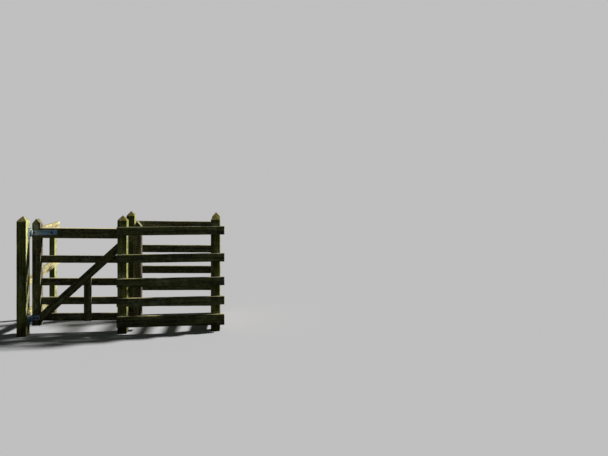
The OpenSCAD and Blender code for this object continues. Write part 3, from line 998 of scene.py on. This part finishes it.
class GateOperator:
    """What the gate's operators share."""

    bl_options = {"REGISTER", "UNDO"}

    def make(self, timbers, body, slot, seed):
        """Makes the pieces for several timbers, each with its own seed."""
        for k, timber in enumerate(timbers):
            settle(timber_piece(timber, slot, seed + k), body, slot, timber.node)


class GATE_OT_posts(GateOperator, bpy.types.Operator):
    """Make the six posts: square, their tops weathered to all four sides."""

    bl_idname = "gate.posts"
    bl_label = "Posts"

    def execute(self, context):
        posts = [post_timber(node) for node in SQUARE_POSTS]
        posts.append(post_timber("wing_post", wing_turn()))
        self.make(posts, "root", "post_timber", SEEDS["posts"])
        return {"FINISHED"}


def wing_turn():
    """How far the wing is turned clockwise from the Y axis, read from its top rail."""
    points = node_points("wing_rail_1")
    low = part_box("wing_rail_1")[0]
    near_x = ends_at(points, 1, low.y)[:, 0].max()
    far = points[np.argmax(points[:, 0])]
    return math.atan2(far[0] - near_x, far[1] - low.y)


class GATE_OT_fence_rails(GateOperator, bpy.types.Operator):
    """Make the rails of the enclosure: front, rear and side."""

    bl_idname = "gate.fence_rails"
    bl_label = "Fence rails"

    def execute(self, context):
        for line, rail in (
            ("front", board_timber), ("rear", board_timber), ("side", side_rail_timber),
        ):
            rails = [rail(f"{line}_rail_{n}") for n in RAIL_NUMBERS]
            self.make(rails, "root", "rail_timber", SEEDS[line])
        return {"FINISHED"}


def side_rail_timber(node):
    """A side rail: it leans from Y, falls to the rear and is cut to the corner posts' faces."""
    low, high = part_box(node)
    points = node_points(node)
    near, far = ends_at(points, 1, low.y), ends_at(points, 1, high.y)
    start, stop = [Vector((end[:, 0].mean(), end[0, 1], halfway(end, 2))) for end in (near, far)]
    along = (stop - start).normalized()
    level = math.hypot(along.x, along.y)
    size = (extent(near, 2) * level, extent(near, 0) * (along.y / level))
    return Timber(node, "side rail", start, along, Z, *size, [Cut(start, Y)], [Cut(stop, Y)])


class GATE_OT_wing_rails(GateOperator, bpy.types.Operator):
    """Make the wing's rails, cut to the hinge post's back face; two of them have dropped there."""

    bl_idname = "gate.wing_rails"
    bl_label = "Wing rails"

    def execute(self, context):
        rails = [wing_rail_timber(f"wing_rail_{n}") for n in WING_NUMBERS]
        self.make(rails, "root", "rail_timber", SEEDS["wing"])
        return {"FINISHED"}


def wing_rail_timber(node):
    """A wing rail, from its right face's two ends; it may fall towards the hinge post."""
    points = node_points(node)
    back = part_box(node)[0].y
    near = ends_at(points, 1, back)
    turn = wing_turn()
    level = Vector((math.sin(turn), math.cos(turn), 0))
    outwards = Vector((math.cos(turn), -math.sin(turn), 0))
    reach = points @ np.array(level)
    far = points[reach > reach.max() - WING_SAME]
    aside = far @ np.array(outwards)
    thick, deep = aside.max() - aside.min(), extent(far, 2)
    near_right, far_right = near[np.argmax(near[:, 0])], far[np.argmax(aside)]
    near_edge = near[near[:, 0] > near[:, 0].max() - WING_SAME]
    start, stop = [
        Vector((*right[:2], halfway(edge, 2))) - outwards * thick / 2
        for right, edge in ((near_right, near_edge), (far_right, far))
    ]
    along = stop - start
    tilt = math.atan2(along.z, along.dot(level))
    rail = Timber(
        node, "wing rail", start, along, outwards.cross(along.normalized()), deep * math.cos(tilt),
        thick, [Cut((0, back, 0), Y)], [Cut(stop, level)],
    )
    rail.checks = 2 if node == "wing_rail_2" else 1
    return rail


class GATE_OT_leaf(GateOperator, bpy.types.Operator):
    """Make the leaf: mortised stiles, five tenoned rails, brace and strut."""

    bl_idname = "gate.leaf"
    bl_label = "Leaf"

    def execute(self, context):
        stiles = [stile_timber(node) for node in ("hanging_stile", "head_stile")]
        rails = [leaf_rail_timber(f"leaf_rail_{n}") for n in RAIL_NUMBERS]
        for k, stile in enumerate(stiles):
            piece = timber_piece(stile, "leaf_timber", SEEDS["stiles"] + k)
            mortise(piece, rails)
            settle(piece, "leaf", "leaf_timber", stile.node)
        self.make(rails, "leaf", "leaf_timber", SEEDS["leaf rails"])
        self.make([brace_timber(), strut_timber()], "leaf", "leaf_timber", SEEDS["brace and strut"])
        return {"FINISHED"}


def stile_timber(node):
    """A stile of the leaf, its top weathered to both sides."""
    points = node_points(node)
    low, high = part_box(node)
    middle = (low + high) / 2
    shoulder = ends_at(points, 0, low.x)[:, 2].max()
    reach, rise = (high.x - low.x) / 2, high.z - shoulder
    foot = Vector((middle.x, middle.y, low.z))
    tip = Vector((middle.x, middle.y, high.z))
    roofs = [Cut(tip, Z * reach + d * rise) for d in (X, -X)]
    size = (2 * reach, high.y - low.y)
    stile = Timber(node, "stile", foot, Z, X, *size, [Cut(foot, Z)], roofs)
    stile.checks = 1
    return stile


def leaf_rail_timber(node):
    """A rail of the leaf: full size between the stiles, a tenon through each."""
    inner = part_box("hanging_stile")[1].x
    rail = board_timber(node, inner)
    tongue = ends_at(node_points(node), 0, rail.origin.x)
    shoulder = (inner - rail.origin.x) / rail.along.x
    deep, thick = extent(tongue, 2) * rail.along.x, extent(tongue, 1)
    rail.tenon = (shoulder, deep / rail.width, thick / rail.depth)
    rail.checks = 1
    return rail


def mortise(piece, rails):
    """Cuts the rails' tenons out of a stile, with a little play and well past both ends."""
    play = bpy.context.scene.gate_timber.mortise_play
    cutter_mesh = bpy.data.meshes.new("mortises")
    form = bmesh.new()
    for rail in rails:
        deep = rail.width * rail.tenon[1] + 2 * play
        thick = rail.depth * rail.tenon[2] + 2 * play
        long = rail.span() + 2 * MORTISE_PAST
        sides = (rail.along * long, rail.across * deep, rail.through * thick)
        turned = Matrix(sides).transposed().to_4x4()
        turned.translation = rail.origin + rail.along * rail.span() / 2
        bmesh.ops.create_cube(form, size=1.0, matrix=turned)
    form.to_mesh(cutter_mesh)
    form.free()
    cutter = bpy.data.objects.new("mortises", cutter_mesh)
    bpy.context.scene.collection.objects.link(cutter)
    cutting = piece.modifiers.new("mortises", "BOOLEAN")
    cutting.operation = "DIFFERENCE"
    cutting.solver = "EXACT"
    cutting.object = cutter
    flatten(piece)
    bpy.data.objects.remove(cutter)


def square_to(first, second):
    """The upward normal of an edge in the XZ plane, from the first of its ends to the second."""
    return Vector((first[2] - second[2], 0, second[0] - first[0]))


def brace_timber():
    """The brace: from the foot of the hanging stile to the corner of top rail and head."""
    low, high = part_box("leaf_brace")
    points = node_points("leaf_brace")
    left = ends_at(points, 0, low.x)[:, 2]
    right = ends_at(points, 0, high.x)[:, 2]
    foot, rise = left.min(), math.atan2(right.min() - left.min(), high.x - low.x)
    along = Vector((math.cos(rise), 0, math.sin(rise)))
    across = Vector((-math.sin(rise), 0, math.cos(rise)))
    width = (left.max() - left.min()) * math.cos(rise)
    start = Vector((low.x, (low.y + high.y) / 2, foot)) + across * width / 2
    corner = Vector((high.x, start.y, right.max()))
    under = square_to(points[np.argmax(points[:, 2])], corner)
    brace = Timber(
        "leaf_brace", "brace", start, along, across, width, high.y - low.y,
        [Cut((low.x, 0, 0), X)], [Cut(corner, X), Cut(corner, under)],
    )
    brace.kinks = ((corner - start).dot(across),)
    brace.checks = 1
    return brace


def strut_timber():
    """The strut: upright over the lowest rail, its head cut to the brace."""
    low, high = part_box("leaf_strut")
    points = node_points("leaf_strut")
    left, right = [ends_at(points, 0, x) for x in (low.x, high.x)]
    (foot_left, head_left), (foot_right, head_right) = [
        (end[np.argmin(end[:, 2])], end[np.argmax(end[:, 2])]) for end in (left, right)
    ]
    foot = Vector(((low.x + high.x) / 2, (low.y + high.y) / 2, (foot_left[2] + foot_right[2]) / 2))
    strut = Timber(
        "leaf_strut", "strut", foot, Z, X, high.x - low.x, high.y - low.y,
        [Cut(foot, square_to(foot_left, foot_right))],
        [Cut(head_right, square_to(head_left, head_right))],
    )
    strut.checks = 1
    return strut


def flatten(piece):
    """Turns a piece's modifiers into its plain mesh."""
    graph = bpy.context.evaluated_depsgraph_get()
    graph.update()
    finished = bpy.data.meshes.new_from_object(piece.evaluated_get(graph), depsgraph=graph)
    finished.name = piece.name
    piece.modifiers.clear()
    piece.data = finished


class GATE_OT_ironwork(GateOperator, bpy.types.Operator):
    """Make the straps and the pin plates from their CAD nodes, with eased edges."""

    bl_idname = "gate.ironwork"
    bl_label = "Straps and pin plates"

    def execute(self, context):
        for kind, body in (("strap", "leaf"), ("hook", "root")):
            for node in (f"upper_{kind}", f"lower_{kind}"):
                settle(eased_copy(node), body, "galvanised_steel", node)
        return {"FINISHED"}


def eased_copy(node):
    """A copy of a CAD node with clean faces and eased edges."""
    form = bmesh.new()
    form.from_mesh(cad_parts[node].data)
    bmesh.ops.remove_doubles(form, verts=form.verts, dist=ONE_POINT)
    bmesh.ops.dissolve_limit(form, angle_limit=ONE_FACE, verts=form.verts, edges=form.edges)
    mesh = bpy.data.meshes.new(node + "_steel")
    form.to_mesh(mesh)
    form.free()
    piece = new_piece(node + "_steel", mesh)
    bevel = piece.modifiers.new("eased edges", "BEVEL")
    bevel.width = bpy.context.scene.gate_fixings.edge
    bevel.segments = 2
    bevel.limit_method = "ANGLE"
    bevel.angle_limit = EASED_FROM
    flatten(piece)
    piece.data.shade_smooth()
    piece.data.set_sharp_from_angle(angle=STEEL_SHARP)
    piece.data.materials.clear()
    piece.data.materials.append(finish_for("galvanised_steel"))
    return piece


def new_piece(name, mesh):
    """An object at the origin that holds a mesh."""
    piece = bpy.data.objects.new(name, mesh)
    bpy.context.scene.collection.objects.link(piece)
    return piece


# Fixings

# Marks of a peg's end grain: crack, edge, end and shade
PEG_MARKS = (0, 0, 1, 0.3)
# Washer's thickness, how far it goes into the wood, nut's height and the bolt's end beyond it
WASHER_THICK, WASHER_SINK, NUT_HIGH, BOLT_PAST = 0.0018, 0.001, 0.0085, 0.004
# How far the nails of a pair stand aside of their middle, and how far each misses its mark
NAIL_ASIDE, NAIL_MISS = 0.013, 0.004
# Share of a rail's width at which its nails lie from its middle
BOARD_NAILS, SIDE_NAILS = 0.2, 0.22
# Distance of the nails from the ends of side rails and of wing rails
SIDE_NAIL_END, WING_NAIL_START, WING_NAIL_END, WING_NAIL_SLANT = 0.022, 0.03, 0.059, 0.01
# Nails of the brace and the strut: aside of the crossing's middle and above it
BRACE_NAILS, STRUT_NAILS = (0.022, 0.012), (0.013, 0.017)
# Room that the nails need before the brace's right end and under the strut's head
BRACE_ROOM, STRUT_ROOM = 0.05, 0.09
# Distance of the nuts' seats below the sawn face, and of the pegs from the stiles' middles
NUT_SINK, PEG_ASIDE = 0.0008, 0.012


def lathe(form, profile, sides):
    """Adds a closed form, turned about Z, to a mesh; its profile runs from the axis below to the
    axis above."""
    rings = []
    for radius, height in profile:
        angles = [2 * math.pi * k / sides for k in range(sides if radius else 1)]
        rings.append([
            form.verts.new((radius * math.cos(angle), radius * math.sin(angle), height))
            for angle in angles
        ])
    for low, high in zip(rings, rings[1:]):
        for k in range(sides):
            round_face = ((low, k), (low, k + 1), (high, k + 1), (high, k))
            corners = [ring[j % len(ring)] for ring, j in round_face]
            form.faces.new(list(dict.fromkeys(corners)))


def master(name, *parts, wooden=False):
    """A fixing's own mesh, its seat at the origin and its head towards +Z, from a profile and a
    number of sides for each part."""
    form = bmesh.new()
    for profile, sides in parts:
        lathe(form, profile, sides)
    mesh = bpy.data.meshes.new(name)
    form.to_mesh(mesh)
    form.free()
    mesh.shade_smooth()
    mesh.set_sharp_from_angle(angle=FIXING_SHARP)
    if wooden:
        points = np.array([v.co for v in mesh.vertices])
        add_grain(mesh, points[:, (2, 0, 1)], np.tile(PEG_MARKS, (len(points), 1)))
    return new_piece(name, mesh)


def scaled(r, *profile):
    """A profile that is given in radii of its head."""
    return [(r * radius, r * height) for radius, height in profile]


def nail_master():
    """A clout nail's head and the top of its shank."""
    r = bpy.context.scene.gate_fixings.nail_head / 2
    shank = ((0, -3), (0.35, -3), (0.4, -0.1))
    return master("nail", (scaled(r, *shank, (1, 0), (1, 0.12), (0.8, 0.22), (0, 0.2)), 10))


def bolt_master():
    """A cup-headed coach bolt."""
    r = bpy.context.scene.gate_fixings.bolt_head / 2
    dome = [(math.cos(w), 0.48 * math.sin(w)) for w in (0.0, 0.3, 0.62, 0.95, 1.25)]
    neck = ((0, -0.4), (0.5, -0.4), (0.5, 0))
    return master("bolt", (scaled(r, *neck, *dome, (0, 0.49)), 24))


def nut_master():
    """A washer, a hexagon nut and the end of its bolt."""
    fixings = bpy.context.scene.gate_fixings
    w, r = fixings.washer / 2, fixings.nut / math.sqrt(3)
    thick, high, end = WASHER_THICK, NUT_HIGH, NUT_HIGH + BOLT_PAST
    washer = [
        (0, -WASHER_SINK), (w, -WASHER_SINK), (w, 0.8 * thick), (0.96 * w, thick), (0, thick),
    ]
    nut = [(0, thick / 2), (r, thick / 2), (r, high * 0.85), (0.9 * r, high), (0, high)]
    stub = [(0, 0), (0.5 * r, 0), (0.5 * r, end - 0.001), (0.42 * r, end), (0, end)]
    return master("nut", (washer, 24), (nut, 6), (stub, 14))


def screw_master():
    """A hexagon-headed coach screw with its flange."""
    r = bpy.context.scene.gate_fixings.screw_head / math.sqrt(3)
    flange = scaled(r, (0, -1), (0.5, -1), (0.5, 0), (1.15, 0), (1.15, 0.12), (0, 0.2))
    head = scaled(r, (0, 0.05), (1, 0.05), (1, 0.6), (0.88, 0.7), (0, 0.7))
    return master("screw", (flange, 16), (head, 6))


def peg_master():
    """The end of a riven peg, cut nearly flush."""
    r = bpy.context.scene.gate_fixings.peg / 2
    shank = ((0, -1.2), (0.98, -1.2))
    end = ((1, 0), (0.86, 0.09), (0.45, 0.13), (0, 0.12))
    return master("peg", (scaled(r, *shank, *end), 9), wooden=True)


def fixing_tree():
    """Geometry Nodes: sets a fixing on every point, its head along the point's facing."""
    tree = bpy.data.node_groups.new("set_fixings", "GeometryNodeTree")
    sockets = {}
    for label, kind in (
        ("Points", "Geometry"), ("Fixing", "Object"), ("Size spread", "Float"), ("Seed", "Int"),
        ("Finish", "Material"),
    ):
        socket = tree.interface.new_socket(
            name=label, in_out="INPUT", socket_type="NodeSocket" + kind,
        )
        sockets[label] = socket.identifier
    tree.interface.new_socket(name="Fixings", in_out="OUTPUT", socket_type="NodeSocketGeometry")
    nodes = Nodes(tree)
    given = nodes.new("NodeGroupInput").outputs

    def random(low, high):
        inputs = {2: low, 3: high, "Seed": given["Seed"]}
        return nodes.put("FunctionNodeRandomValue", inputs, 1, data_type="FLOAT")

    facing = nodes.put(
        "GeometryNodeInputNamedAttribute", {"Name": "facing"}, "Attribute",
        data_type="FLOAT_VECTOR",
    )
    aim = nodes.put("FunctionNodeAlignRotationToVector", {"Vector": facing}, 0, axis="Z")
    turn = {"Axis": (0, 0, 1), "Angle": random(0.0, 2 * math.pi)}
    spin = nodes.put("FunctionNodeAxisAngleToRotation", turn, 0)
    aimed = nodes.put("FunctionNodeRotateRotation", {0: aim, 1: spin}, 0, rotation_space="LOCAL")
    size = random(nodes.math("SUBTRACT", 1.0, given["Size spread"]), 1.0)
    source = {"Object": given["Fixing"], "As Instance": True}
    fixing = nodes.put("GeometryNodeObjectInfo", source, "Geometry")
    placed = nodes.put(
        "GeometryNodeInstanceOnPoints",
        {"Points": given["Points"], "Instance": fixing, "Rotation": aimed, "Scale": size}, 0,
    )
    real = nodes.put("GeometryNodeRealizeInstances", {"Geometry": placed}, 0)
    finish = {"Geometry": real, "Material": given["Finish"]}
    dressed = nodes.put("GeometryNodeSetMaterial", finish, 0)
    nodes.feed(nodes.new("NodeGroupOutput").inputs[0], dressed)
    tree["sockets"] = sockets
    return tree


def set_fixings(name, make_master, spots, body, slot, finish=None):
    """Makes one piece of like fixings on one body. A spot is a point and the way that its head
    faces."""
    fixings = bpy.context.scene.gate_fixings
    mesh = bpy.data.meshes.new(name)
    mesh.from_pydata([tuple(point) for point, _ in spots], [], [])
    facing = mesh.attributes.new("facing", "FLOAT_VECTOR", "POINT")
    ways = np.array([tuple(way) for _, way in spots], np.float32)
    facing.data.foreach_set("vector", ways.ravel())
    piece = new_piece(name, mesh)
    fixing = make_master()
    tree = kept(bpy.data.node_groups, "set_fixings", fixing_tree)
    modifier = piece.modifiers.new("fixings", "NODES")
    modifier.node_group = tree
    sockets = tree["sockets"]
    modifier[sockets["Fixing"]] = fixing
    modifier[sockets["Size spread"]] = fixings.size_spread
    modifier[sockets["Seed"]] = fixings.seed
    modifier[sockets["Finish"]] = finish_for(finish or slot)
    flatten(piece)
    bpy.data.objects.remove(fixing)
    settle(piece, body, slot)


def nail_pair(middle, facing, rng, spread):
    """Two nails, one above the other and a little aside, as a rail is nailed to a post."""
    side = rng.choice((-1, 1))
    pair = []
    for k in (-1, 1):
        off = Vector(rng.uniform(-NAIL_MISS, NAIL_MISS, 3))
        sideways = Z.cross(facing).normalized() * side * k * NAIL_ASIDE
        point = middle + off + sideways + Z * k * spread
        point -= facing * (point - middle).dot(facing)
        pair.append((point, facing))
    return pair


class GATE_OT_nails(GateOperator, bpy.types.Operator):
    """Nail the rails to the posts, and brace and strut to the leaf's rails."""

    bl_idname = "gate.nails"
    bl_label = "Nails"

    def execute(self, context):
        rng = np.random.default_rng(context.scene.gate_fixings.seed)
        steel, rusty = "galvanised_steel", "rusty_nails"
        set_fixings("fence_nails", nail_master, fence_nails(rng), "root", steel, rusty)
        set_fixings("leaf_nails", nail_master, leaf_nails(), "leaf", steel, rusty)
        return {"FINISHED"}


def fence_nails(rng):
    """Nails of the front, rear, side and wing rails."""
    sink = bpy.context.scene.gate_fixings.nail_sink
    spots = []
    for n in RAIL_NUMBERS:
        for line, facing in (("front", -Y), ("rear", Y)):
            rail = board_timber(f"{line}_rail_{n}")
            face = rail.origin.y + facing.y * (rail.depth / 2 - sink)
            for post in (f"{line}_clapping_post", f"{line}_corner_post"):
                x = middle_of(post).x
                middle = Vector((x, face, rail.height_at(x)))
                spots += nail_pair(middle, facing, rng, rail.width * BOARD_NAILS)
        rail = side_rail_timber(f"side_rail_{n}")
        ends = (SIDE_NAIL_END, rail.span() - SIDE_NAIL_END)
        spots += end_nails(rail, ends, Z * rail.width * SIDE_NAILS, sink)
    for n in WING_NUMBERS:
        rail = wing_rail_timber(f"wing_rail_{n}")
        ends = (WING_NAIL_START, rail.span() - WING_NAIL_END)
        slant = rail.across * rail.width * BOARD_NAILS + rail.along * WING_NAIL_SLANT
        spots += end_nails(rail, ends, slant, sink)
    return spots


def end_nails(rail, ends, step, sink):
    """Two nails at each end of a rail, a step to either side of its middle, in its right face."""
    right = rail.through if rail.through.x > 0 else -rail.through
    spots = []
    for x in ends:
        middle = rail.origin + rail.along * x + right * (rail.depth / 2 - sink)
        spots += [(middle + step * k, right) for k in (-1, 1)]
    return spots


def leaf_nails():
    """Nails of the brace and the strut, where they cross the leaf's rails."""
    brace, strut = brace_timber(), strut_timber()
    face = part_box("leaf_brace")[0].y + bpy.context.scene.gate_fixings.nail_sink
    spots = []
    for n in RAIL_NUMBERS[1:]:
        rail = leaf_rail_timber(f"leaf_rail_{n}")
        slopes = brace.along.z / brace.along.x - rail.along.z / rail.along.x
        x = brace.origin.x + (rail.height_at(brace.origin.x) - brace.origin.z) / slopes
        places = [(x, *BRACE_NAILS)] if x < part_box("leaf_brace")[1].x - BRACE_ROOM else []
        if rail.height_at(strut.origin.x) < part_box("leaf_strut")[1].z - STRUT_ROOM:
            places.append((strut.origin.x, *STRUT_NAILS))
        for x, aside, above in places:
            for k in (-1, 1):
                z = rail.height_at(x) + k * above
                spots.append((Vector((x + k * aside, face, z)), -Y))
    return spots


class GATE_OT_bolts(GateOperator, bpy.types.Operator):
    """Bolt the straps to the leaf, screw the pin plates to the post and peg the tenons."""

    bl_idname = "gate.bolts"
    bl_label = "Bolts, screws and pegs"

    def execute(self, context):
        heads, nuts = strap_bolts()
        steel = "galvanised_steel"
        # The cup heads take the dark rusty finish: rust on old bolts, and painted shade for the
        # shadow that lay on them
        set_fixings("strap_bolts", bolt_master, heads, "leaf", steel, "rusty_nails")
        set_fixings("strap_nuts", nut_master, nuts, "leaf", steel)
        set_fixings("plate_screws", screw_master, plate_screws(), "root", steel)
        set_fixings("tenon_pegs", peg_master, tenon_pegs(), "leaf", "leaf_timber")
        return {"FINISHED"}


def strap_bolts():
    """Cup heads on the straps and nuts on the back of the leaf."""
    fixings = bpy.context.scene.gate_fixings
    near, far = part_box("hanging_stile")
    front, back = near.y - fixings.strap, far.y - NUT_SINK
    heads, nuts = [], []
    for strap, last in (("upper_strap", fixings.end_bolt), ("lower_strap", fixings.low_end_bolt)):
        low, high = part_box(strap)
        for x in (near.x + fixings.near_bolt, high.x - last):
            heads.append((Vector((x, front, (low.z + high.z) / 2)), -Y))
            nuts.append((Vector((x, back, (low.z + high.z) / 2)), Y))
    return heads, nuts


def plate_screws():
    """Coach screws near the corners of the pin plates."""
    fixings = bpy.context.scene.gate_fixings
    inset = fixings.plate_inset
    spots = []
    for hook in ("upper_hook", "lower_hook"):
        points = node_points(hook)
        low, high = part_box(hook)
        face = low.x + fixings.plate
        plate = points[points[:, 0] < face + SAME]
        for y in (plate[:, 1].min() + inset, plate[:, 1].max() - inset):
            for z in (low.z + inset, high.z - inset):
                spots.append((Vector((face, y, z)), X))
    return spots


def tenon_pegs():
    """Peg ends on both faces of the stiles, one for each tenon."""
    skin = bpy.context.scene.gate_timber.skin
    spots = []
    for stile, inwards in (("hanging_stile", 1), ("head_stile", -1)):
        low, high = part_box(stile)
        x = (low.x + high.x) / 2 + inwards * PEG_ASIDE
        for n in RAIL_NUMBERS:
            z = leaf_rail_timber(f"leaf_rail_{n}").height_at(x)
            spots.append((Vector((x, low.y + skin, z)), -Y))
            spots.append((Vector((x, high.y - skin, z)), Y))
    return spots


# Stage

class GATE_OT_stage(bpy.types.Operator):
    """Set the photo's camera, a warm key from the right and behind, soft fill and a pale floor."""

    bl_idname = "gate.stage"
    bl_label = "Stage"

    def execute(self, context):
        stage = context.scene.gate_stage
        add_camera(stage)
        add_key(stage)
        set_world(stage)
        add_floor(stage)
        context.scene.view_settings.view_transform = "Standard"
        return {"FINISHED"}


def add_camera(stage):
    """A level camera: its shift lowers the frame, so that uprights stay upright as in the photo."""
    camera = bpy.data.cameras.new("camera")
    camera.sensor_width = SENSOR_WIDTH
    camera.lens = stage.focal / PHOTO_WIDTH * camera.sensor_width
    camera.shift_y = (stage.horizon - PHOTO_HEIGHT / 2) / PHOTO_WIDTH
    piece = bpy.data.objects.new("camera", camera)
    piece.location = stage.eye
    piece.rotation_euler = (math.pi / 2, 0, -stage.turn)
    bpy.context.scene.collection.objects.link(piece)
    bpy.context.scene.camera = piece


def add_key(stage):
    """The key light."""
    lamp = bpy.data.lights.new("key", "SUN")
    lamp.energy = stage.key_power
    lamp.angle = stage.key_angle
    lamp.color = stage.key_colour
    piece = bpy.data.objects.new("key", lamp)
    piece.rotation_euler = Vector(stage.key_from).to_track_quat("Z", "Y").to_euler()
    bpy.context.scene.collection.objects.link(piece)


def set_world(stage):
    """Soft light from all sides, and past the floor a plain backdrop as bright as the lit floor."""
    lift = Vector(stage.key_from).normalized().z * stage.key_power / math.pi
    lit = [
        lift * key + stage.fill_power * fill
        for key, fill in zip(stage.key_colour, stage.fill_colour)
    ]
    backdrop = [tint * light for tint, light in zip(stage.floor, lit)]
    world = bpy.data.worlds.new("studio")
    world.use_nodes = True
    bpy.context.scene.world = world
    nodes = Nodes(world.node_tree)
    fill = world.node_tree.nodes["Background"]
    nodes.feed(fill.inputs["Color"], solid(stage.fill_colour))
    nodes.feed(fill.inputs["Strength"], stage.fill_power)
    seen = nodes.put("ShaderNodeBackground", {"Color": solid(backdrop), "Strength": 1.0}, 0)
    sheen = nodes.put("ShaderNodeBackground", {"Color": solid(stage.sheen), "Strength": 1.0}, 0)
    rays = nodes.new("ShaderNodeLightPath").outputs
    mixed = fill.outputs[0]
    for ray, glow in (("Is Glossy Ray", sheen), ("Is Camera Ray", seen)):
        mixed = nodes.put("ShaderNodeMixShader", {0: rays[ray], 1: mixed, 2: glow}, 0)
    nodes.feed(world.node_tree.nodes["World Output"].inputs["Surface"], mixed)


def add_floor(stage):
    """A plain pale floor that throws little light back on the gate."""
    reach = stage.floor_size / 2
    middle = (CAD_BOX[0] + CAD_BOX[1]) / 2
    mesh = bpy.data.meshes.new("floor")
    corners = [
        (middle.x + i * reach, middle.y + j * reach, 0)
        for i, j in ((-1, -1), (1, -1), (1, 1), (-1, 1))
    ]
    mesh.from_pydata(corners, [], [(0, 1, 2, 3)])
    material, nodes, shader = new_material("studio_floor")
    seen = nodes.new("ShaderNodeLightPath").outputs["Is Camera Ray"]
    tint = nodes.mix(seen, solid(stage.bounce), solid(stage.floor))
    nodes.feed(shader.inputs["Base Color"], tint)
    shader.inputs["Roughness"].default_value = 1.0
    shader.inputs["Specular IOR Level"].default_value = 0.0
    mesh.materials.append(material)
    return new_piece("floor", mesh)


OPERATORS = (
    GATE_OT_stage, GATE_OT_posts, GATE_OT_fence_rails, GATE_OT_wing_rails, GATE_OT_leaf,
    GATE_OT_ironwork, GATE_OT_nails, GATE_OT_bolts,
)


class GATE_PT_sidebar(bpy.types.Panel):
    """The gate's panel in the sidebar."""

    bl_idname = "GATE_PT_sidebar"
    bl_label = "Kissing gate"
    bl_space_type = "VIEW_3D"
    bl_region_type = "UI"
    bl_category = "Gate"

    def draw(self, context):
        for operator in OPERATORS:
            self.layout.operator(operator.bl_idname)
        for name, group in GROUPS:
            box = self.layout.box()
            for key in group.__annotations__:
                box.prop(getattr(context.scene, name), key)


CLASSES = (*(group for _, group in GROUPS), *OPERATORS, GATE_PT_sidebar)


def register():
    for cls in CLASSES:
        bpy.utils.register_class(cls)
    for name, group in GROUPS:
        setattr(bpy.types.Scene, name, PointerProperty(type=group))


def unregister():
    for name, _ in GROUPS:
        delattr(bpy.types.Scene, name)
    for cls in reversed(CLASSES):
        bpy.utils.unregister_class(cls)


def main():
    register()
    for operator in OPERATORS:
        family, name = operator.bl_idname.split(".")
        getattr(getattr(bpy.ops, family), name)()


if __name__ == "__main__":
    main()
